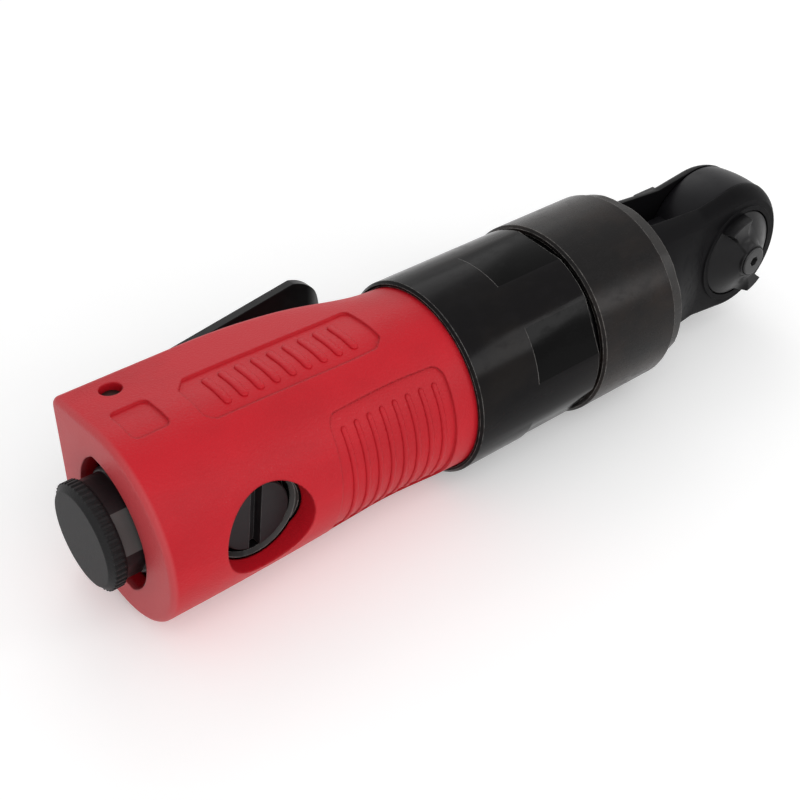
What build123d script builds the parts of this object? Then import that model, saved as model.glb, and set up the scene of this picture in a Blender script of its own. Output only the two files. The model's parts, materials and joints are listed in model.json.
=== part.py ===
"""Mini air ratchet with a 1/4 inch square drive, as separate named pieces.

Frame: +X runs along the tool from the air inlet to the ratchet head, +Z is the
side with the lever pin's open hole, +Y is the side with the throttle lever and
the square drive. The origin is on the tool's axis where the inlet's thread starts.
All sizes are in millimetres and degrees.
"""
from build123d import *

import math
import os

os.makedirs("parts", exist_ok=True)

# ---------------------------------------------------------------- clearances
RUN = 0.05             # radial, shaft running in a hole
SLIP = 0.05            # radial, piece slipped into another and left there
APART = 0.3            # between faces of pieces that move past each other
SWEEP = 0.6            # extra room around the throttle lever's cheeks

# ------------------------------------------------------- driving dimensions
# motor housing
SLEEVE_R = 18.5        # barrel, outside
SLEEVE_BACK_X = 64.0
SLEEVE_FRONT_X = 92.6  # the barrel ends here in a relief groove
RELIEF_DEPTH = 0.9
THREAD_STEP = 0.4      # the clamp nut's thread lies this far below the relief
BARREL_WALL = 1.6      # under the clamp nut's thread
STEM_R = 12.8          # rear stem, inside the handle cover
STEM_BACK_X = 6.0
NECK_R = 9.5           # the stem's end, which the inlet bushing seats on
NECK_LENGTH = 2.6
SPIGOT_X = 56.0        # the cover's front end fits over the spigot
SOCKET_DEPTH = 1.0     # the cover's front end stands this deep in the barrel
MOTOR_X = 66.3         # floor of the motor bore
FLAT_X = 77.6          # rear end of the wrench flats
FLAT_DEPTH = 0.8
FLAT_COUNT = 6
FLAT_TURN = 4.0        # degrees, the flats' turn past +Z
EDGE = 0.5             # bright chamfer on the barrel's and the nut's edges

# handle cover
COVER_BACK_X = 3.0
COVER_R = 17.35        # its round side, at the rear
COVER_WAIST = 0.8      # how much slimmer it gets in the middle
COVER_WALL = 2.45      # from its round side to the exhaust gap inside
COVER_FLAT_STEP = 1.25 # the lever side is flat, this far below the round side
COVER_CORNER_STEP = 1.35  # its corners lie this far inside the round side
COVER_CORNER_R = 2.2
POCKET_DEPTH = 0.45
POCKET_CORNER_R = 1.2
SMALL_POCKET_X = 10.3  # middle of the small pocket behind the side panel
SMALL_POCKET_Y = 0.7
SMALL_POCKET_LONG = 6.6
SMALL_POCKET_HIGH = 8.0
PANEL_BACK_X = 18.5    # side panel
PANEL_FRONT_X = 53.2
PANEL_TOP_Y = 5.6
PANEL_LOW_Y = -5.7
PANEL_CUT = 2.0        # its slanted corners
BADGE_BACK_X = 34.6    # plain pocket between the window and the barrel
BADGE_FRONT_X = 59.6
BADGE_HALF_Z = 12.2
BADGE_SLANT = 1.6
BADGE_CORNER_R = 2.0
WINDOW_R = 8.36
WINDOW_LIP = 0.9       # wall of the lip that runs down from the window to the stem
OPENING_HALF = 12.0    # exhaust opening, from its middle to a pointed end
OPENING_TURN = 18.0    # degrees, its pointed ends from Z towards the lever

# inlet
COLLAR_R = 9.2
COLLAR_X = 4.2         # the bushing's collar starts here, behind its wrench flats
INLET_THREAD_R = 6.3   # wall of the tapped inlet
INLET_THREAD_END = 11.2
SCREEN_R = 5.4         # seat of the strainer, behind the thread
SCREEN_X = 12.0
SCREEN_DEPTH = 2.6     # of the strainer's cup
SCREEN_WALL = 0.6
SCREEN_HOLE_R = 0.4
SCREEN_RING_R = 1.5
INLET_HOLE_R = 4.2
SHANK_R = 7.85         # the bushing's thread in the stem
SHANK_END_X = 15.0
MOUTH_R = 7.0          # plain mouth in front of the thread
MOUTH_DEPTH = 0.8
CAP_R = 9.25           # dust plug
CAP_THICK = 1.8
RIB_COUNT = 48         # round the dust plug's rim
RIB_DEPTH = 0.5
CAP_SKIRT = 1.2        # its rim reaches this far over the bushing

# throttle valve
VALVE_X = 21.4
VALVE_STEM_R = 1.5
CHAMBER_R = 5.0
CHAMBER_TOP_Y = 2.5
OUTLET_R = 3.4
OUTLET_TOP_Y = 6.5
SEAT_THICK = 1.5
BOSS_R = 8.0
BOSS_Y = 12.0          # face of the valve boss, on the window side
PLUG_R = 6.5
PLUG_LENGTH = 6.0
SLOT_WIDTH = 2.1
PASSAGE_R = 2.0

# throttle lever
PIN_X = 10.9
PIN_Y = 10.7
PIN_R = 1.9
LEVER_HALF = 10.3      # half the lever's width
LEVER_THICK = 1.7
LEVER_RISE = 10.3      # degrees, lever released
LEVER_TOP_Y = 19.0     # outer face over the pin
LEVER_TIP_X = 64.4
LEVER_FLARE = 1.7      # height of the flared tip over the plate
CHEEK_LENGTH = 15.0    # in front of the pin
CHEEK_THICK = 1.8

# motor
PLATE_THICK = 4.5      # both end plates
CYLINDER_LENGTH = 21.5
CYLINDER_WALL = 3.3    # from the motor bore to the cylinder's own, but for the offset
CYLINDER_OFFSET = 1.0
SHAFT_R = 3.0
VANE_COUNT = 5
VANE_THICK = 2.0
VANE_HEIGHT = 5.3
VANE_GAP = 0.1         # under and over a vane that is fully in
BEARING_R = 6.5
BEARING_WIDTH = 3.6
BALL_R = 1.0
BALL_COUNT = 6
EXHAUST_R = 1.5
EXHAUST_INSET = 0.4    # the exhaust holes' middles, below the stem's outside
NOTCH_INSET = 1.3      # the end plates' notches, below the motor bore

# planetary gear
RING_WALL = 3.0        # from the motor bore to the ring gear's pitch circle
SUN_TEETH = 12
PLANET_TEETH = 15
RING_TEETH = 42
PLANET_COUNT = 3
RING_LENGTH = 10.6
GEAR_WIDTH = 5.2
PLANET_PIN_R = 1.5
BACKLASH = 0.12
WASHER_THICK = 0.9

# clamp nut
NUT_PROUD = 0.43       # the nut stands this far out of the barrel's outline
NUT_BACK_X = 93.7
NUT_EDGE_X = 113.0     # front end of its full diameter
NOSE_X = 115.8         # front end of its nose
NOSE_STEP = 0.73
LIP_X = 111.4          # inside face of the lip
NOSE_FLAT_DEPTH = 0.65

# ratchet head
HEAD_X = 144.0         # axis of the square drive
HEAD_R = 13.9
EAR_FACE_Y = 8.2
EAR_HALF_Z = 12.6      # where the neck's bevels end
SLOT_HALF_Y = 4.9
SLOT_X = 118.6
HEAD_NECK_R = 15.0
BEVEL_X = 132.7        # the neck's bevels end here
BOSS_RISE = 0.3
BOSS_RING_R = 10.6
CRANK_SHAFT_R = 5.0
CRANK_BUSH_R = 6.5
THROW = 1.0            # of the crank
CRANK_PIN_R = 2.0
DRIVE_BUSH_R = 2.8
YOKE_TEETH = 30
YOKE_CREST_R = 9.7
YOKE_ROOT_R = 10.6
YOKE_HALF_Y = 4.7
YOKE_CROWN = 0.4       # its rim is fuller in the middle
YOKE_SLOT_HALF = 5.0
ARM_HALF_Z = 7.4
ARM_HALF_Y = 3.7
DRUM_R = 9.35
NEAR_BORE_R = 9.45     # ear on the knob's side
FAR_BORE_R = 8.0       # ear on the square's side
SQUARE = 6.35          # 1/4 inch drive
SQUARE_START_Y = 10.0
SQUARE_TIP_Y = 18.4
KNOB_R = 9.0
KNOB_RIM_Y = 8.5
DOME_TOP_Y = 10.9
GRIP_TOP_Y = 11.3
HUB_TOP_Y = 12.6
GRIP_WIDTH = 4.8
HUB_R = 3.3
SCREW_TOP_Y = 12.75
SCREW_HEAD_R = 2.95
SCREW_SEAT_Y = 11.0
SCREW_SHANK_R = 1.2
GRIP_TURN = 28.0       # degrees, the grip's direction from +Z
SPINDLE_R = 3.0
FLANGE_GAP = 0.1       # from the flange, which the nut's lip pulls on, to the thread
NECK_GAP = 0.1         # between the head's neck and the nut's lip
BEVEL_WIDE_Y = 3.2     # the fork's outer bevels, across its sides
BEVEL_WIDE_Z = 2.2     # and along them
BEVEL_BULGE = 0.4
NEAR_JOURNAL_R = 7.0
RING_Y = 6.2           # inner face of the retaining ring
RING_THICK = 0.8
KNOB_Y = 7.1           # inner face of the knob
PAWL_PIN_X = 149.8
PAWL_PIN_R = 1.2
PAWL_HALF_Y = 2.9
PAWL_TIP_R = 9.15
PAWL_TILT = 4.0        # degrees to each side
PAWL_NOSE_X = 4.6      # the pawl's inner corners, from the square drive's axis
PAWL_NOSE_HALF = 2.2
PAWL_NOSE_DIP = 0.4    # its nose is hollow between them
PAWL_POCKET_X = 2.1    # the pawl's pocket starts here
PAWL_POCKET_WIDTH = 15.2
PLUNGER_WINDOW = 7.6
PLUNGER_REACH = 3.9    # the plunger's tip, from the square drive's axis
PLUNGER_R = 0.95
BALL_DETENT_R = 1.3
BALL_DETENT_Y = 15.5

# ------------------------------------------------------------- derived sizes
RELIEF_R = SLEEVE_R - RELIEF_DEPTH
THREAD_R = RELIEF_R - THREAD_STEP
MOTOR_BORE_R = THREAD_R - BARREL_WALL
CYLINDER_BORE_R = MOTOR_BORE_R - CYLINDER_WALL
ROTOR_R = CYLINDER_BORE_R - CYLINDER_OFFSET - APART
EXHAUST_RING_R = STEM_R - EXHAUST_INSET
COVER_BORE_R = COVER_R - COVER_WALL
COVER_FLAT_Y = COVER_R - COVER_FLAT_STEP
COVER_CORNER_Z = COVER_R - COVER_CORNER_STEP
NUT_R = SLEEVE_R + NUT_PROUD
NOSE_R = NUT_R - NOSE_STEP
FLANGE_R = THREAD_R - FLANGE_GAP
LIP_R = HEAD_NECK_R + NECK_GAP
COVER_END_R = SLEEVE_R - 2 * EDGE - 4 * SLIP
SOCKET_X = SLEEVE_BACK_X + SOCKET_DEPTH
CYLINDER_X = MOTOR_X + PLATE_THICK
FRONT_PLATE_X = CYLINDER_X + CYLINDER_LENGTH
RING_X = FRONT_PLATE_X + PLATE_THICK
RING_END_X = RING_X + RING_LENGTH
BARREL_END_X = RING_END_X + 1.0
MODULE = 2 * (MOTOR_BORE_R - RING_WALL) / RING_TEETH
SUN_PITCH_R = MODULE * SUN_TEETH / 2
PLANET_PITCH_R = MODULE * PLANET_TEETH / 2
RING_PITCH_R = MODULE * RING_TEETH / 2
PLANET_ORBIT_R = SUN_PITCH_R + PLANET_PITCH_R
GEAR_X = RING_X + 2.2
CARRIER_X = GEAR_X + GEAR_WIDTH + 0.2
CARRIER_END_X = RING_END_X - 0.2
WASHER_X = CARRIER_END_X + 0.1
VALVE_CLOSED_Y = CHAMBER_TOP_Y - SEAT_THICK
LEVER_SLOPE = math.tan(math.radians(LEVER_RISE))
PASSAGE_ANGLE = 45.0
PASSAGE_END_R = 11.6
PLUG_INNER_Y = -BOSS_Y + PLUG_LENGTH
FACE_X = -MOUTH_DEPTH  # the inlet bushing's rear face
OPENING_BULGE = COLLAR_R + APART
LEVER_BACK_X = PIN_X - 3.4
CHEEK_END_X = PIN_X + CHEEK_LENGTH


def y_plane(x: float, y: float) -> Plane:
    """Plane at (x, y, 0) whose normal is +Y, local x along +X."""
    return Plane(origin=(x, y, 0), x_dir=(1, 0, 0), z_dir=(0, 1, 0))


def polar(radius: float, angle: float) -> tuple[float, float]:
    """Point at an angle in degrees from the first axis."""
    turn = math.radians(angle)
    return radius * math.cos(turn), radius * math.sin(turn)


def exhaust_circles(radius: float, hole: float) -> None:
    """Adds the exhaust holes' pattern to the active sketch, clear of the inlet."""
    with PolarLocations(radius, 5, start_angle=150, angular_range=180, endpoint=True):
        Circle(hole)


# ============================================================ motor housing
with BuildPart() as motor_housing:
    with BuildSketch(Plane.XY):
        with BuildLine():
            Polyline(
                (STEM_BACK_X, 0),
                (STEM_BACK_X, NECK_R),
                (STEM_BACK_X + NECK_LENGTH, NECK_R),
                (STEM_BACK_X + NECK_LENGTH, STEM_R),
                (SPIGOT_X, STEM_R),
                (SPIGOT_X, COVER_BORE_R - SLIP),
                (SOCKET_X, COVER_BORE_R - SLIP),
                (SOCKET_X, SLEEVE_R - 2 * EDGE),
                (SLEEVE_BACK_X, SLEEVE_R - 2 * EDGE),
                (SLEEVE_BACK_X, SLEEVE_R - EDGE),
                (SLEEVE_BACK_X + EDGE, SLEEVE_R),
                (SLEEVE_FRONT_X, SLEEVE_R),
                (SLEEVE_FRONT_X, RELIEF_R),
                (NUT_BACK_X + 1.5, RELIEF_R),
                (NUT_BACK_X + 1.5, THREAD_R),
                (BARREL_END_X, THREAD_R),
                (BARREL_END_X, MOTOR_BORE_R),
                (MOTOR_X, MOTOR_BORE_R),
                (MOTOR_X, 0),
                close=True,
            )
        make_face()
    revolve(axis=Axis.X)
    # valve boss, which shows in the cover's window
    with BuildSketch(y_plane(VALVE_X, -BOSS_Y)):
        Circle(BOSS_R)
    extrude(amount=BOSS_Y)
    with BuildSketch(y_plane(VALVE_X, -BOSS_Y)):
        Circle(BOSS_R)
    extrude(amount=-STEM_R, mode=Mode.SUBTRACT)
    # side flats that leave room for the throttle lever's cheeks
    with BuildSketch(Plane.YZ.offset(STEM_BACK_X)):
        with Locations((STEM_R, STEM_R + LEVER_HALF - CHEEK_THICK - APART),
                       (STEM_R, -STEM_R - LEVER_HALF + CHEEK_THICK + APART)):
            Rectangle(STEM_R, 2 * STEM_R)
    extrude(amount=PIN_X + 2 * PIN_R - STEM_BACK_X + 1.5, mode=Mode.SUBTRACT)
    with BuildSketch(Plane.XY.offset(-STEM_R)):
        with Locations((PIN_X, PIN_Y)):
            Circle(PIN_R + SLIP)
    extrude(amount=2 * STEM_R, mode=Mode.SUBTRACT)
    # air inlet, tapped for the bushing, and its way into the valve chamber
    with BuildSketch(Plane.YZ.offset(STEM_BACK_X)):
        Circle(SHANK_R + SLIP)
    extrude(amount=SHANK_END_X - STEM_BACK_X + 0.5, mode=Mode.SUBTRACT)
    with BuildSketch(Plane.YZ.offset(SHANK_END_X)):
        with Locations((-2, 0)):
            Circle(OUTLET_R)
    extrude(amount=VALVE_X - SHANK_END_X, mode=Mode.SUBTRACT)
    # cross bore: plug thread, valve chamber, outlet chamber, stem guide
    with BuildSketch(y_plane(VALVE_X, -BOSS_Y)):
        Circle(PLUG_R + SLIP)
    extrude(amount=PLUG_LENGTH + 1, mode=Mode.SUBTRACT)
    with BuildSketch(y_plane(VALVE_X, PLUG_INNER_Y)):
        Circle(CHAMBER_R)
    extrude(amount=CHAMBER_TOP_Y - PLUG_INNER_Y, mode=Mode.SUBTRACT)
    with BuildSketch(y_plane(VALVE_X, 0)):
        Circle(OUTLET_R)
    extrude(amount=OUTLET_TOP_Y, mode=Mode.SUBTRACT)
    with BuildSketch(y_plane(VALVE_X, 0)):
        Circle(VALVE_STEM_R + RUN)
    extrude(amount=STEM_R + 1, mode=Mode.SUBTRACT)
    # slanted passage from the outlet chamber to the motor's rear plate
    passage_start = Vector(VALVE_X, (CHAMBER_TOP_Y + OUTLET_TOP_Y) / 2, 0)
    passage_end = Vector(MOTOR_X + 1, *polar(PASSAGE_END_R, PASSAGE_ANGLE))
    passage = passage_end - passage_start
    with BuildSketch(Plane(origin=passage_start, z_dir=passage)):
        Circle(PASSAGE_R)
    extrude(amount=passage.length, mode=Mode.SUBTRACT)
    # exhaust holes from the motor bore to the gap inside the cover
    with BuildSketch(Plane.YZ.offset(SPIGOT_X - 2)):
        exhaust_circles(EXHAUST_RING_R, EXHAUST_R)
    extrude(amount=MOTOR_X - SPIGOT_X + 3, mode=Mode.SUBTRACT)
    # wrench flats
    with BuildSketch(Plane.YZ.offset(FLAT_X)):
        with PolarLocations(SLEEVE_R - FLAT_DEPTH + 2, FLAT_COUNT, start_angle=90 + FLAT_TURN):
            Rectangle(4, SLEEVE_R)
    extrude(amount=SLEEVE_FRONT_X - FLAT_X, mode=Mode.SUBTRACT)
    # counterbore round the plug, with a wide bright chamfer
    with BuildSketch(y_plane(VALVE_X, -BOSS_Y)):
        Circle(PLUG_R + 0.8)
    extrude(amount=2.5, mode=Mode.SUBTRACT)
    with BuildSketch(y_plane(VALVE_X, -BOSS_Y)):
        Circle(BOSS_R - 0.1)
    extrude(amount=BOSS_R - PLUG_R - 0.9, taper=45, mode=Mode.SUBTRACT)

motor_housing.part.label = "motor_housing"
export_step(motor_housing.part, "parts/motor_housing.step")


# ============================================================= handle cover
# Each station is x, how round the section is (0 to 1), and its round side's
# radius. The cover changes from a flat lever side to a full round.
COVER_STATIONS = [
    (COVER_BACK_X, 0.0, COVER_R),
    (COVER_BACK_X + 4.0, 0.0, COVER_R),
    (COVER_BACK_X + 8.0, 0.0, COVER_R),
    (COVER_BACK_X + 13.0, 0.0, COVER_R - 0.04 * COVER_WAIST),
    (COVER_BACK_X + 19.0, 0.0, COVER_R - 0.16 * COVER_WAIST),
    (COVER_BACK_X + 25.0, 0.0, COVER_R - 0.31 * COVER_WAIST),
    (SOCKET_X - 31.0, 0.04, COVER_R - 0.54 * COVER_WAIST),
    (SOCKET_X - 25.0, 0.13, COVER_R - 0.75 * COVER_WAIST),
    (SOCKET_X - 17.0, 0.33, COVER_R - COVER_WAIST),
    (SOCKET_X - 11.0, 0.6, COVER_R - 0.75 * COVER_WAIST),
    (SOCKET_X - 5.0, 0.88, COVER_R - 0.31 * COVER_WAIST),
    (SOCKET_X, 1.0, COVER_END_R),
]


def flat_points(radius: float, inset: float) -> list[tuple[float, float]]:
    """Upper half of the flat-sided outline, from the round side to the flat."""
    flat = COVER_FLAT_Y - inset
    corner = COVER_CORNER_Z - inset
    reach = math.hypot(flat, corner)
    tangent = math.atan2(corner, flat) + math.acos(radius / reach)
    start = (radius * math.cos(tangent), radius * math.sin(tangent))
    along = (flat - start[0], corner - start[1])
    length = math.hypot(*along)
    along = (along[0] / length, along[1] / length)
    half_turn = (math.pi / 2 + math.asin(-along[1])) / 2
    cut = COVER_CORNER_R * math.tan(math.pi / 2 - half_turn)
    before = (flat - along[0] * cut, corner - along[1] * cut)
    after = (flat, corner - cut)
    centre = (flat - COVER_CORNER_R, corner - cut)
    lean = math.radians(45) + math.asin(-along[1]) / 2
    middle = (
        centre[0] + COVER_CORNER_R * math.cos(lean),
        centre[1] + COVER_CORNER_R * math.sin(lean),
    )
    side = ((start[0] + before[0]) / 2, (start[1] + before[1]) / 2)
    return [start, side, before, middle, after, (flat, 0.0)]


def round_points(radius: float) -> list[tuple[float, float]]:
    """The same six points on a full circle."""
    return [polar(radius, angle) for angle in (86, 72, 56, 48, 40, 0)]


def cover_outline(roundness: float, radius: float, inset: float) -> None:
    """Draws one closed section of the handle cover in the active line builder.

    Args:
        roundness: 0 for the flat lever side, 1 for a full circle.
        radius: radius of the round side.
        inset: distance of the outline below the cover's surface.
    """
    inner = radius - inset
    points = [
        (a[0] + (b[0] - a[0]) * roundness, a[1] + (b[1] - a[1]) * roundness)
        for a, b in zip(flat_points(inner, inset), round_points(inner))
    ]
    start, side, before, middle, after, flat = points
    lower = [(y, -z) for y, z in points]
    ThreePointArc(lower[0], (-inner, 0), start)
    if roundness == 0:
        Line(start, before)
        ThreePointArc(before, middle, after)
        Line(after, lower[4])
        ThreePointArc(lower[4], lower[3], lower[2])
        Line(lower[2], lower[0])
    else:
        ThreePointArc(start, side, before)
        ThreePointArc(before, middle, after)
        ThreePointArc(after, flat, lower[4])
        ThreePointArc(lower[4], lower[3], lower[2])
        ThreePointArc(lower[2], lower[1], lower[0])


# The cover's shape just below its surface: the pockets' floors follow it.
with BuildPart() as pocket_floor:
    for station_x, roundness, radius in COVER_STATIONS:
        with BuildSketch(Plane.YZ.offset(station_x)):
            with BuildLine():
                cover_outline(roundness, radius, POCKET_DEPTH)
            make_face()
    loft()

# Outlines of the pockets, seen from +Z and from the window side.
with BuildPart() as pockets:
    with BuildSketch(Plane.XY.offset(COVER_R / 2)):
        with Locations((SMALL_POCKET_X, SMALL_POCKET_Y)):
            RectangleRounded(SMALL_POCKET_LONG, SMALL_POCKET_HIGH, POCKET_CORNER_R)
    extrude(amount=COVER_R)
    with BuildSketch(Plane.XY.offset(COVER_R / 2)):
        with BuildLine():
            Polyline(
                (PANEL_BACK_X, PANEL_TOP_Y - 1.3 * PANEL_CUT),
                (PANEL_BACK_X + 1.15 * PANEL_CUT, PANEL_TOP_Y),
                (PANEL_FRONT_X, PANEL_TOP_Y),
                (PANEL_FRONT_X, PANEL_LOW_Y + 0.75 * PANEL_CUT),
                (PANEL_FRONT_X - PANEL_CUT, PANEL_LOW_Y),
                (PANEL_BACK_X + 0.75 * PANEL_CUT, PANEL_LOW_Y),
                (PANEL_BACK_X, PANEL_LOW_Y + 0.65 * PANEL_CUT),
                close=True,
            )
        make_face()
        fillet(vertices(), POCKET_CORNER_R)
    extrude(amount=COVER_R)
    with BuildSketch(y_plane(0, -COVER_R / 2)):
        with BuildLine():
            Polyline(
                (BADGE_BACK_X, BADGE_HALF_Z),
                (BADGE_FRONT_X, BADGE_HALF_Z),
                (BADGE_FRONT_X, -BADGE_HALF_Z),
                (BADGE_BACK_X + BADGE_SLANT, -BADGE_HALF_Z),
                close=True,
            )
        make_face()
        fillet(vertices(), BADGE_CORNER_R)
    extrude(amount=-COVER_R)
    add(pocket_floor.part, mode=Mode.SUBTRACT)

with BuildPart() as handle_cover:
    for station_x, roundness, radius in COVER_STATIONS:
        with BuildSketch(Plane.YZ.offset(station_x)):
            with BuildLine():
                cover_outline(roundness, radius, 0)
            make_face()
    loft()
    fillet(handle_cover.edges().group_by(Axis.X)[0], 1.1)
    # room for the stem and the exhaust air round it
    with BuildSketch(Plane.YZ.offset(STEM_BACK_X)):
        Circle(COVER_BORE_R)
    extrude(amount=SOCKET_X - STEM_BACK_X, mode=Mode.SUBTRACT)
    # lip round the window, down to the stem
    with BuildSketch(y_plane(VALVE_X, -COVER_BORE_R - 0.5)):
        Circle(WINDOW_R + WINDOW_LIP)
    extrude(amount=COVER_BORE_R + 0.5 - BOSS_Y)
    with BuildSketch(Plane.YZ.offset(STEM_BACK_X)):
        Circle(STEM_R + APART)
    extrude(amount=SOCKET_X - STEM_BACK_X, mode=Mode.SUBTRACT)
    # exhaust opening with two pointed ends, round the inlet bushing
    with BuildSketch(Plane.YZ.offset(COVER_BACK_X)):
        with BuildLine():
            upper = polar(OPENING_HALF, 90 - OPENING_TURN)
            lower = polar(OPENING_HALF, 270 - OPENING_TURN)
            ThreePointArc(lower, polar(OPENING_BULGE, 180 - OPENING_TURN), upper)
            ThreePointArc(upper, polar(OPENING_BULGE, -OPENING_TURN), lower)
        make_face()
    extrude(amount=STEM_BACK_X - COVER_BACK_X, mode=Mode.SUBTRACT)
    # round window over the valve plug
    with BuildSketch(y_plane(VALVE_X, 0)):
        Circle(WINDOW_R)
    extrude(amount=-2 * SLEEVE_R, mode=Mode.SUBTRACT)
    # lever pin's hole, through both sides
    with BuildSketch(Plane.XY.offset(-SLEEVE_R)):
        with Locations((PIN_X, PIN_Y)):
            Circle(PIN_R + SLIP)
    extrude(amount=2 * SLEEVE_R, mode=Mode.SUBTRACT)
    # slots for the lever's cheeks, and the valve stem's hole
    with BuildSketch(y_plane(0, PIN_Y - 4)):
        middle_x = (LEVER_BACK_X + CHEEK_END_X) / 2
        middle_z = LEVER_HALF - CHEEK_THICK / 2
        with Locations((middle_x, middle_z), (middle_x, -middle_z)):
            RectangleRounded(
                CHEEK_END_X - LEVER_BACK_X + 2 * SWEEP,
                CHEEK_THICK + 2 * SWEEP,
                CHEEK_THICK / 2,
            )
        with Locations((VALVE_X, 0)):
            Circle(VALVE_STEM_R + 0.7)
    extrude(amount=12, mode=Mode.SUBTRACT)
    add(pockets.part, mode=Mode.SUBTRACT)

handle_cover.part.label = "handle_cover"
export_step(handle_cover.part, "parts/handle_cover.step")


# ==================================================================== inlet
with BuildPart() as inlet_bushing:
    with BuildSketch(Plane.XY):
        with BuildLine():
            Polyline(
                (FACE_X, MOUTH_R),
                (FACE_X, COLLAR_R - 0.9),
                (FACE_X + 0.3, COLLAR_R - 0.6),
                (COLLAR_X, COLLAR_R - 0.6),
                (COLLAR_X, COLLAR_R - 0.4),
                (COLLAR_X + 0.4, COLLAR_R),
                (STEM_BACK_X - 0.5, COLLAR_R),
                (STEM_BACK_X, COLLAR_R - 0.5),
                (STEM_BACK_X, SHANK_R),
                (SHANK_END_X - 0.8, SHANK_R),
                (SHANK_END_X, SHANK_R - 0.8),
                (SHANK_END_X, INLET_HOLE_R),
                (SCREEN_X, INLET_HOLE_R),
                (SCREEN_X, SCREEN_R),
                (INLET_THREAD_END, SCREEN_R),
                (INLET_THREAD_END, INLET_THREAD_R),
                (0, INLET_THREAD_R),
                (0, MOUTH_R),
                close=True,
            )
        make_face()
    revolve(axis=Axis.X)
    # six wrench flats behind the collar
    with BuildSketch(Plane.YZ.offset(FACE_X)):
        with PolarLocations(COLLAR_R - 1.15 + 2, 6, start_angle=30):
            Rectangle(4, 2 * COLLAR_R)
    extrude(amount=COLLAR_X - FACE_X, mode=Mode.SUBTRACT)

inlet_bushing.part.label = "inlet_bushing"
export_step(inlet_bushing.part, "parts/inlet_bushing.step")

# Cup-shaped strainer; its rim sits in the bushing's inner step.
with BuildPart() as inlet_screen:
    with BuildSketch(Plane.XY):
        with BuildLine():
            Polyline(
                (INLET_THREAD_END + 0.1, SCREEN_R - SLIP),
                (SCREEN_X, SCREEN_R - SLIP),
                (SCREEN_X, INLET_HOLE_R - 0.2),
                (SCREEN_X + SCREEN_DEPTH, INLET_HOLE_R - 1.0),
                (SCREEN_X + SCREEN_DEPTH, 0),
                (SCREEN_X + SCREEN_DEPTH - SCREEN_WALL, 0),
                (SCREEN_X + SCREEN_DEPTH - SCREEN_WALL, INLET_HOLE_R - 0.9 - SCREEN_WALL),
                (INLET_THREAD_END + 0.1, INLET_HOLE_R - 0.1 - SCREEN_WALL),
                close=True,
            )
        make_face()
    revolve(axis=Axis.X)
    with BuildSketch(Plane.YZ.offset(SCREEN_X + SCREEN_DEPTH - 2 * SCREEN_WALL)):
        Circle(SCREEN_HOLE_R)
        with PolarLocations(SCREEN_RING_R, 6):
            Circle(SCREEN_HOLE_R)
    extrude(amount=3 * SCREEN_WALL, mode=Mode.SUBTRACT)

inlet_screen.part.label = "inlet_screen"
export_step(inlet_screen.part, "parts/inlet_screen.step")

CAP_X = FACE_X - CAP_THICK
SKIRT_X = FACE_X + CAP_SKIRT
with BuildPart() as dust_plug:
    with BuildSketch(Plane.XY):
        with BuildLine():
            Polyline(
                (CAP_X, 0),
                (CAP_X, CAP_R - 1.1),
                (CAP_X + 0.8, CAP_R - 0.2),
                (SKIRT_X - 0.3, CAP_R - 0.2),
                (SKIRT_X, CAP_R - 0.4),
                (SKIRT_X, COLLAR_R - 0.6 + RUN),
                (FACE_X, COLLAR_R - 0.6 + RUN),
                (FACE_X, MOUTH_R - RUN),
                (-0.1, MOUTH_R - RUN),
                (-0.1, MOUTH_R - 1.4),
                (CAP_X + 1.6, MOUTH_R - 1.4),
                (CAP_X + 1.6, 0),
                close=True,
            )
        make_face()
    revolve(axis=Axis.X)
    # ribs round the rim
    with BuildSketch(Plane.YZ.offset(CAP_X + 0.8)):
        with PolarLocations(CAP_R - RIB_DEPTH / 2, RIB_COUNT):
            Rectangle(RIB_DEPTH, 0.5)
    extrude(amount=SKIRT_X - CAP_X - 1.15)

dust_plug.part.label = "dust_plug"
export_step(dust_plug.part, "parts/dust_plug.step")


# =========================================================== throttle valve
with BuildPart() as valve_seat:
    with BuildSketch(y_plane(VALVE_X, VALVE_CLOSED_Y)):
        Circle(CHAMBER_R)
        Circle(OUTLET_R, mode=Mode.SUBTRACT)
    extrude(amount=SEAT_THICK)

valve_seat.part.label = "valve_seat"
export_step(valve_seat.part, "parts/valve_seat.step")

POPPET_THICK = 2.0
with BuildPart() as throttle_valve:
    with BuildSketch(y_plane(VALVE_X, VALVE_CLOSED_Y - POPPET_THICK)):
        Circle(CHAMBER_R - 0.7)
    extrude(amount=POPPET_THICK)
    chamfer(throttle_valve.edges().group_by(Axis.Y)[0], 0.4)

throttle_valve.part.label = "throttle_valve"
export_step(throttle_valve.part, "parts/throttle_valve.step")


def lever_underside(x: float) -> float:
    """Height of the released lever's inner face above the tool's axis."""
    drop = LEVER_THICK / math.cos(math.radians(LEVER_RISE))
    return LEVER_TOP_Y + (x - PIN_X) * LEVER_SLOPE - drop


VALVE_STEM_TOP = lever_underside(VALVE_X) - VALVE_STEM_R * LEVER_SLOPE - APART
with BuildPart() as valve_stem:
    with BuildSketch(y_plane(VALVE_X, VALVE_CLOSED_Y)):
        Circle(VALVE_STEM_R)
    extrude(amount=VALVE_STEM_TOP - VALVE_CLOSED_Y)
    fillet(valve_stem.edges().group_by(Axis.Y)[-1], 0.6)

valve_stem.part.label = "valve_stem"
export_step(valve_stem.part, "parts/valve_stem.step")

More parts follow.
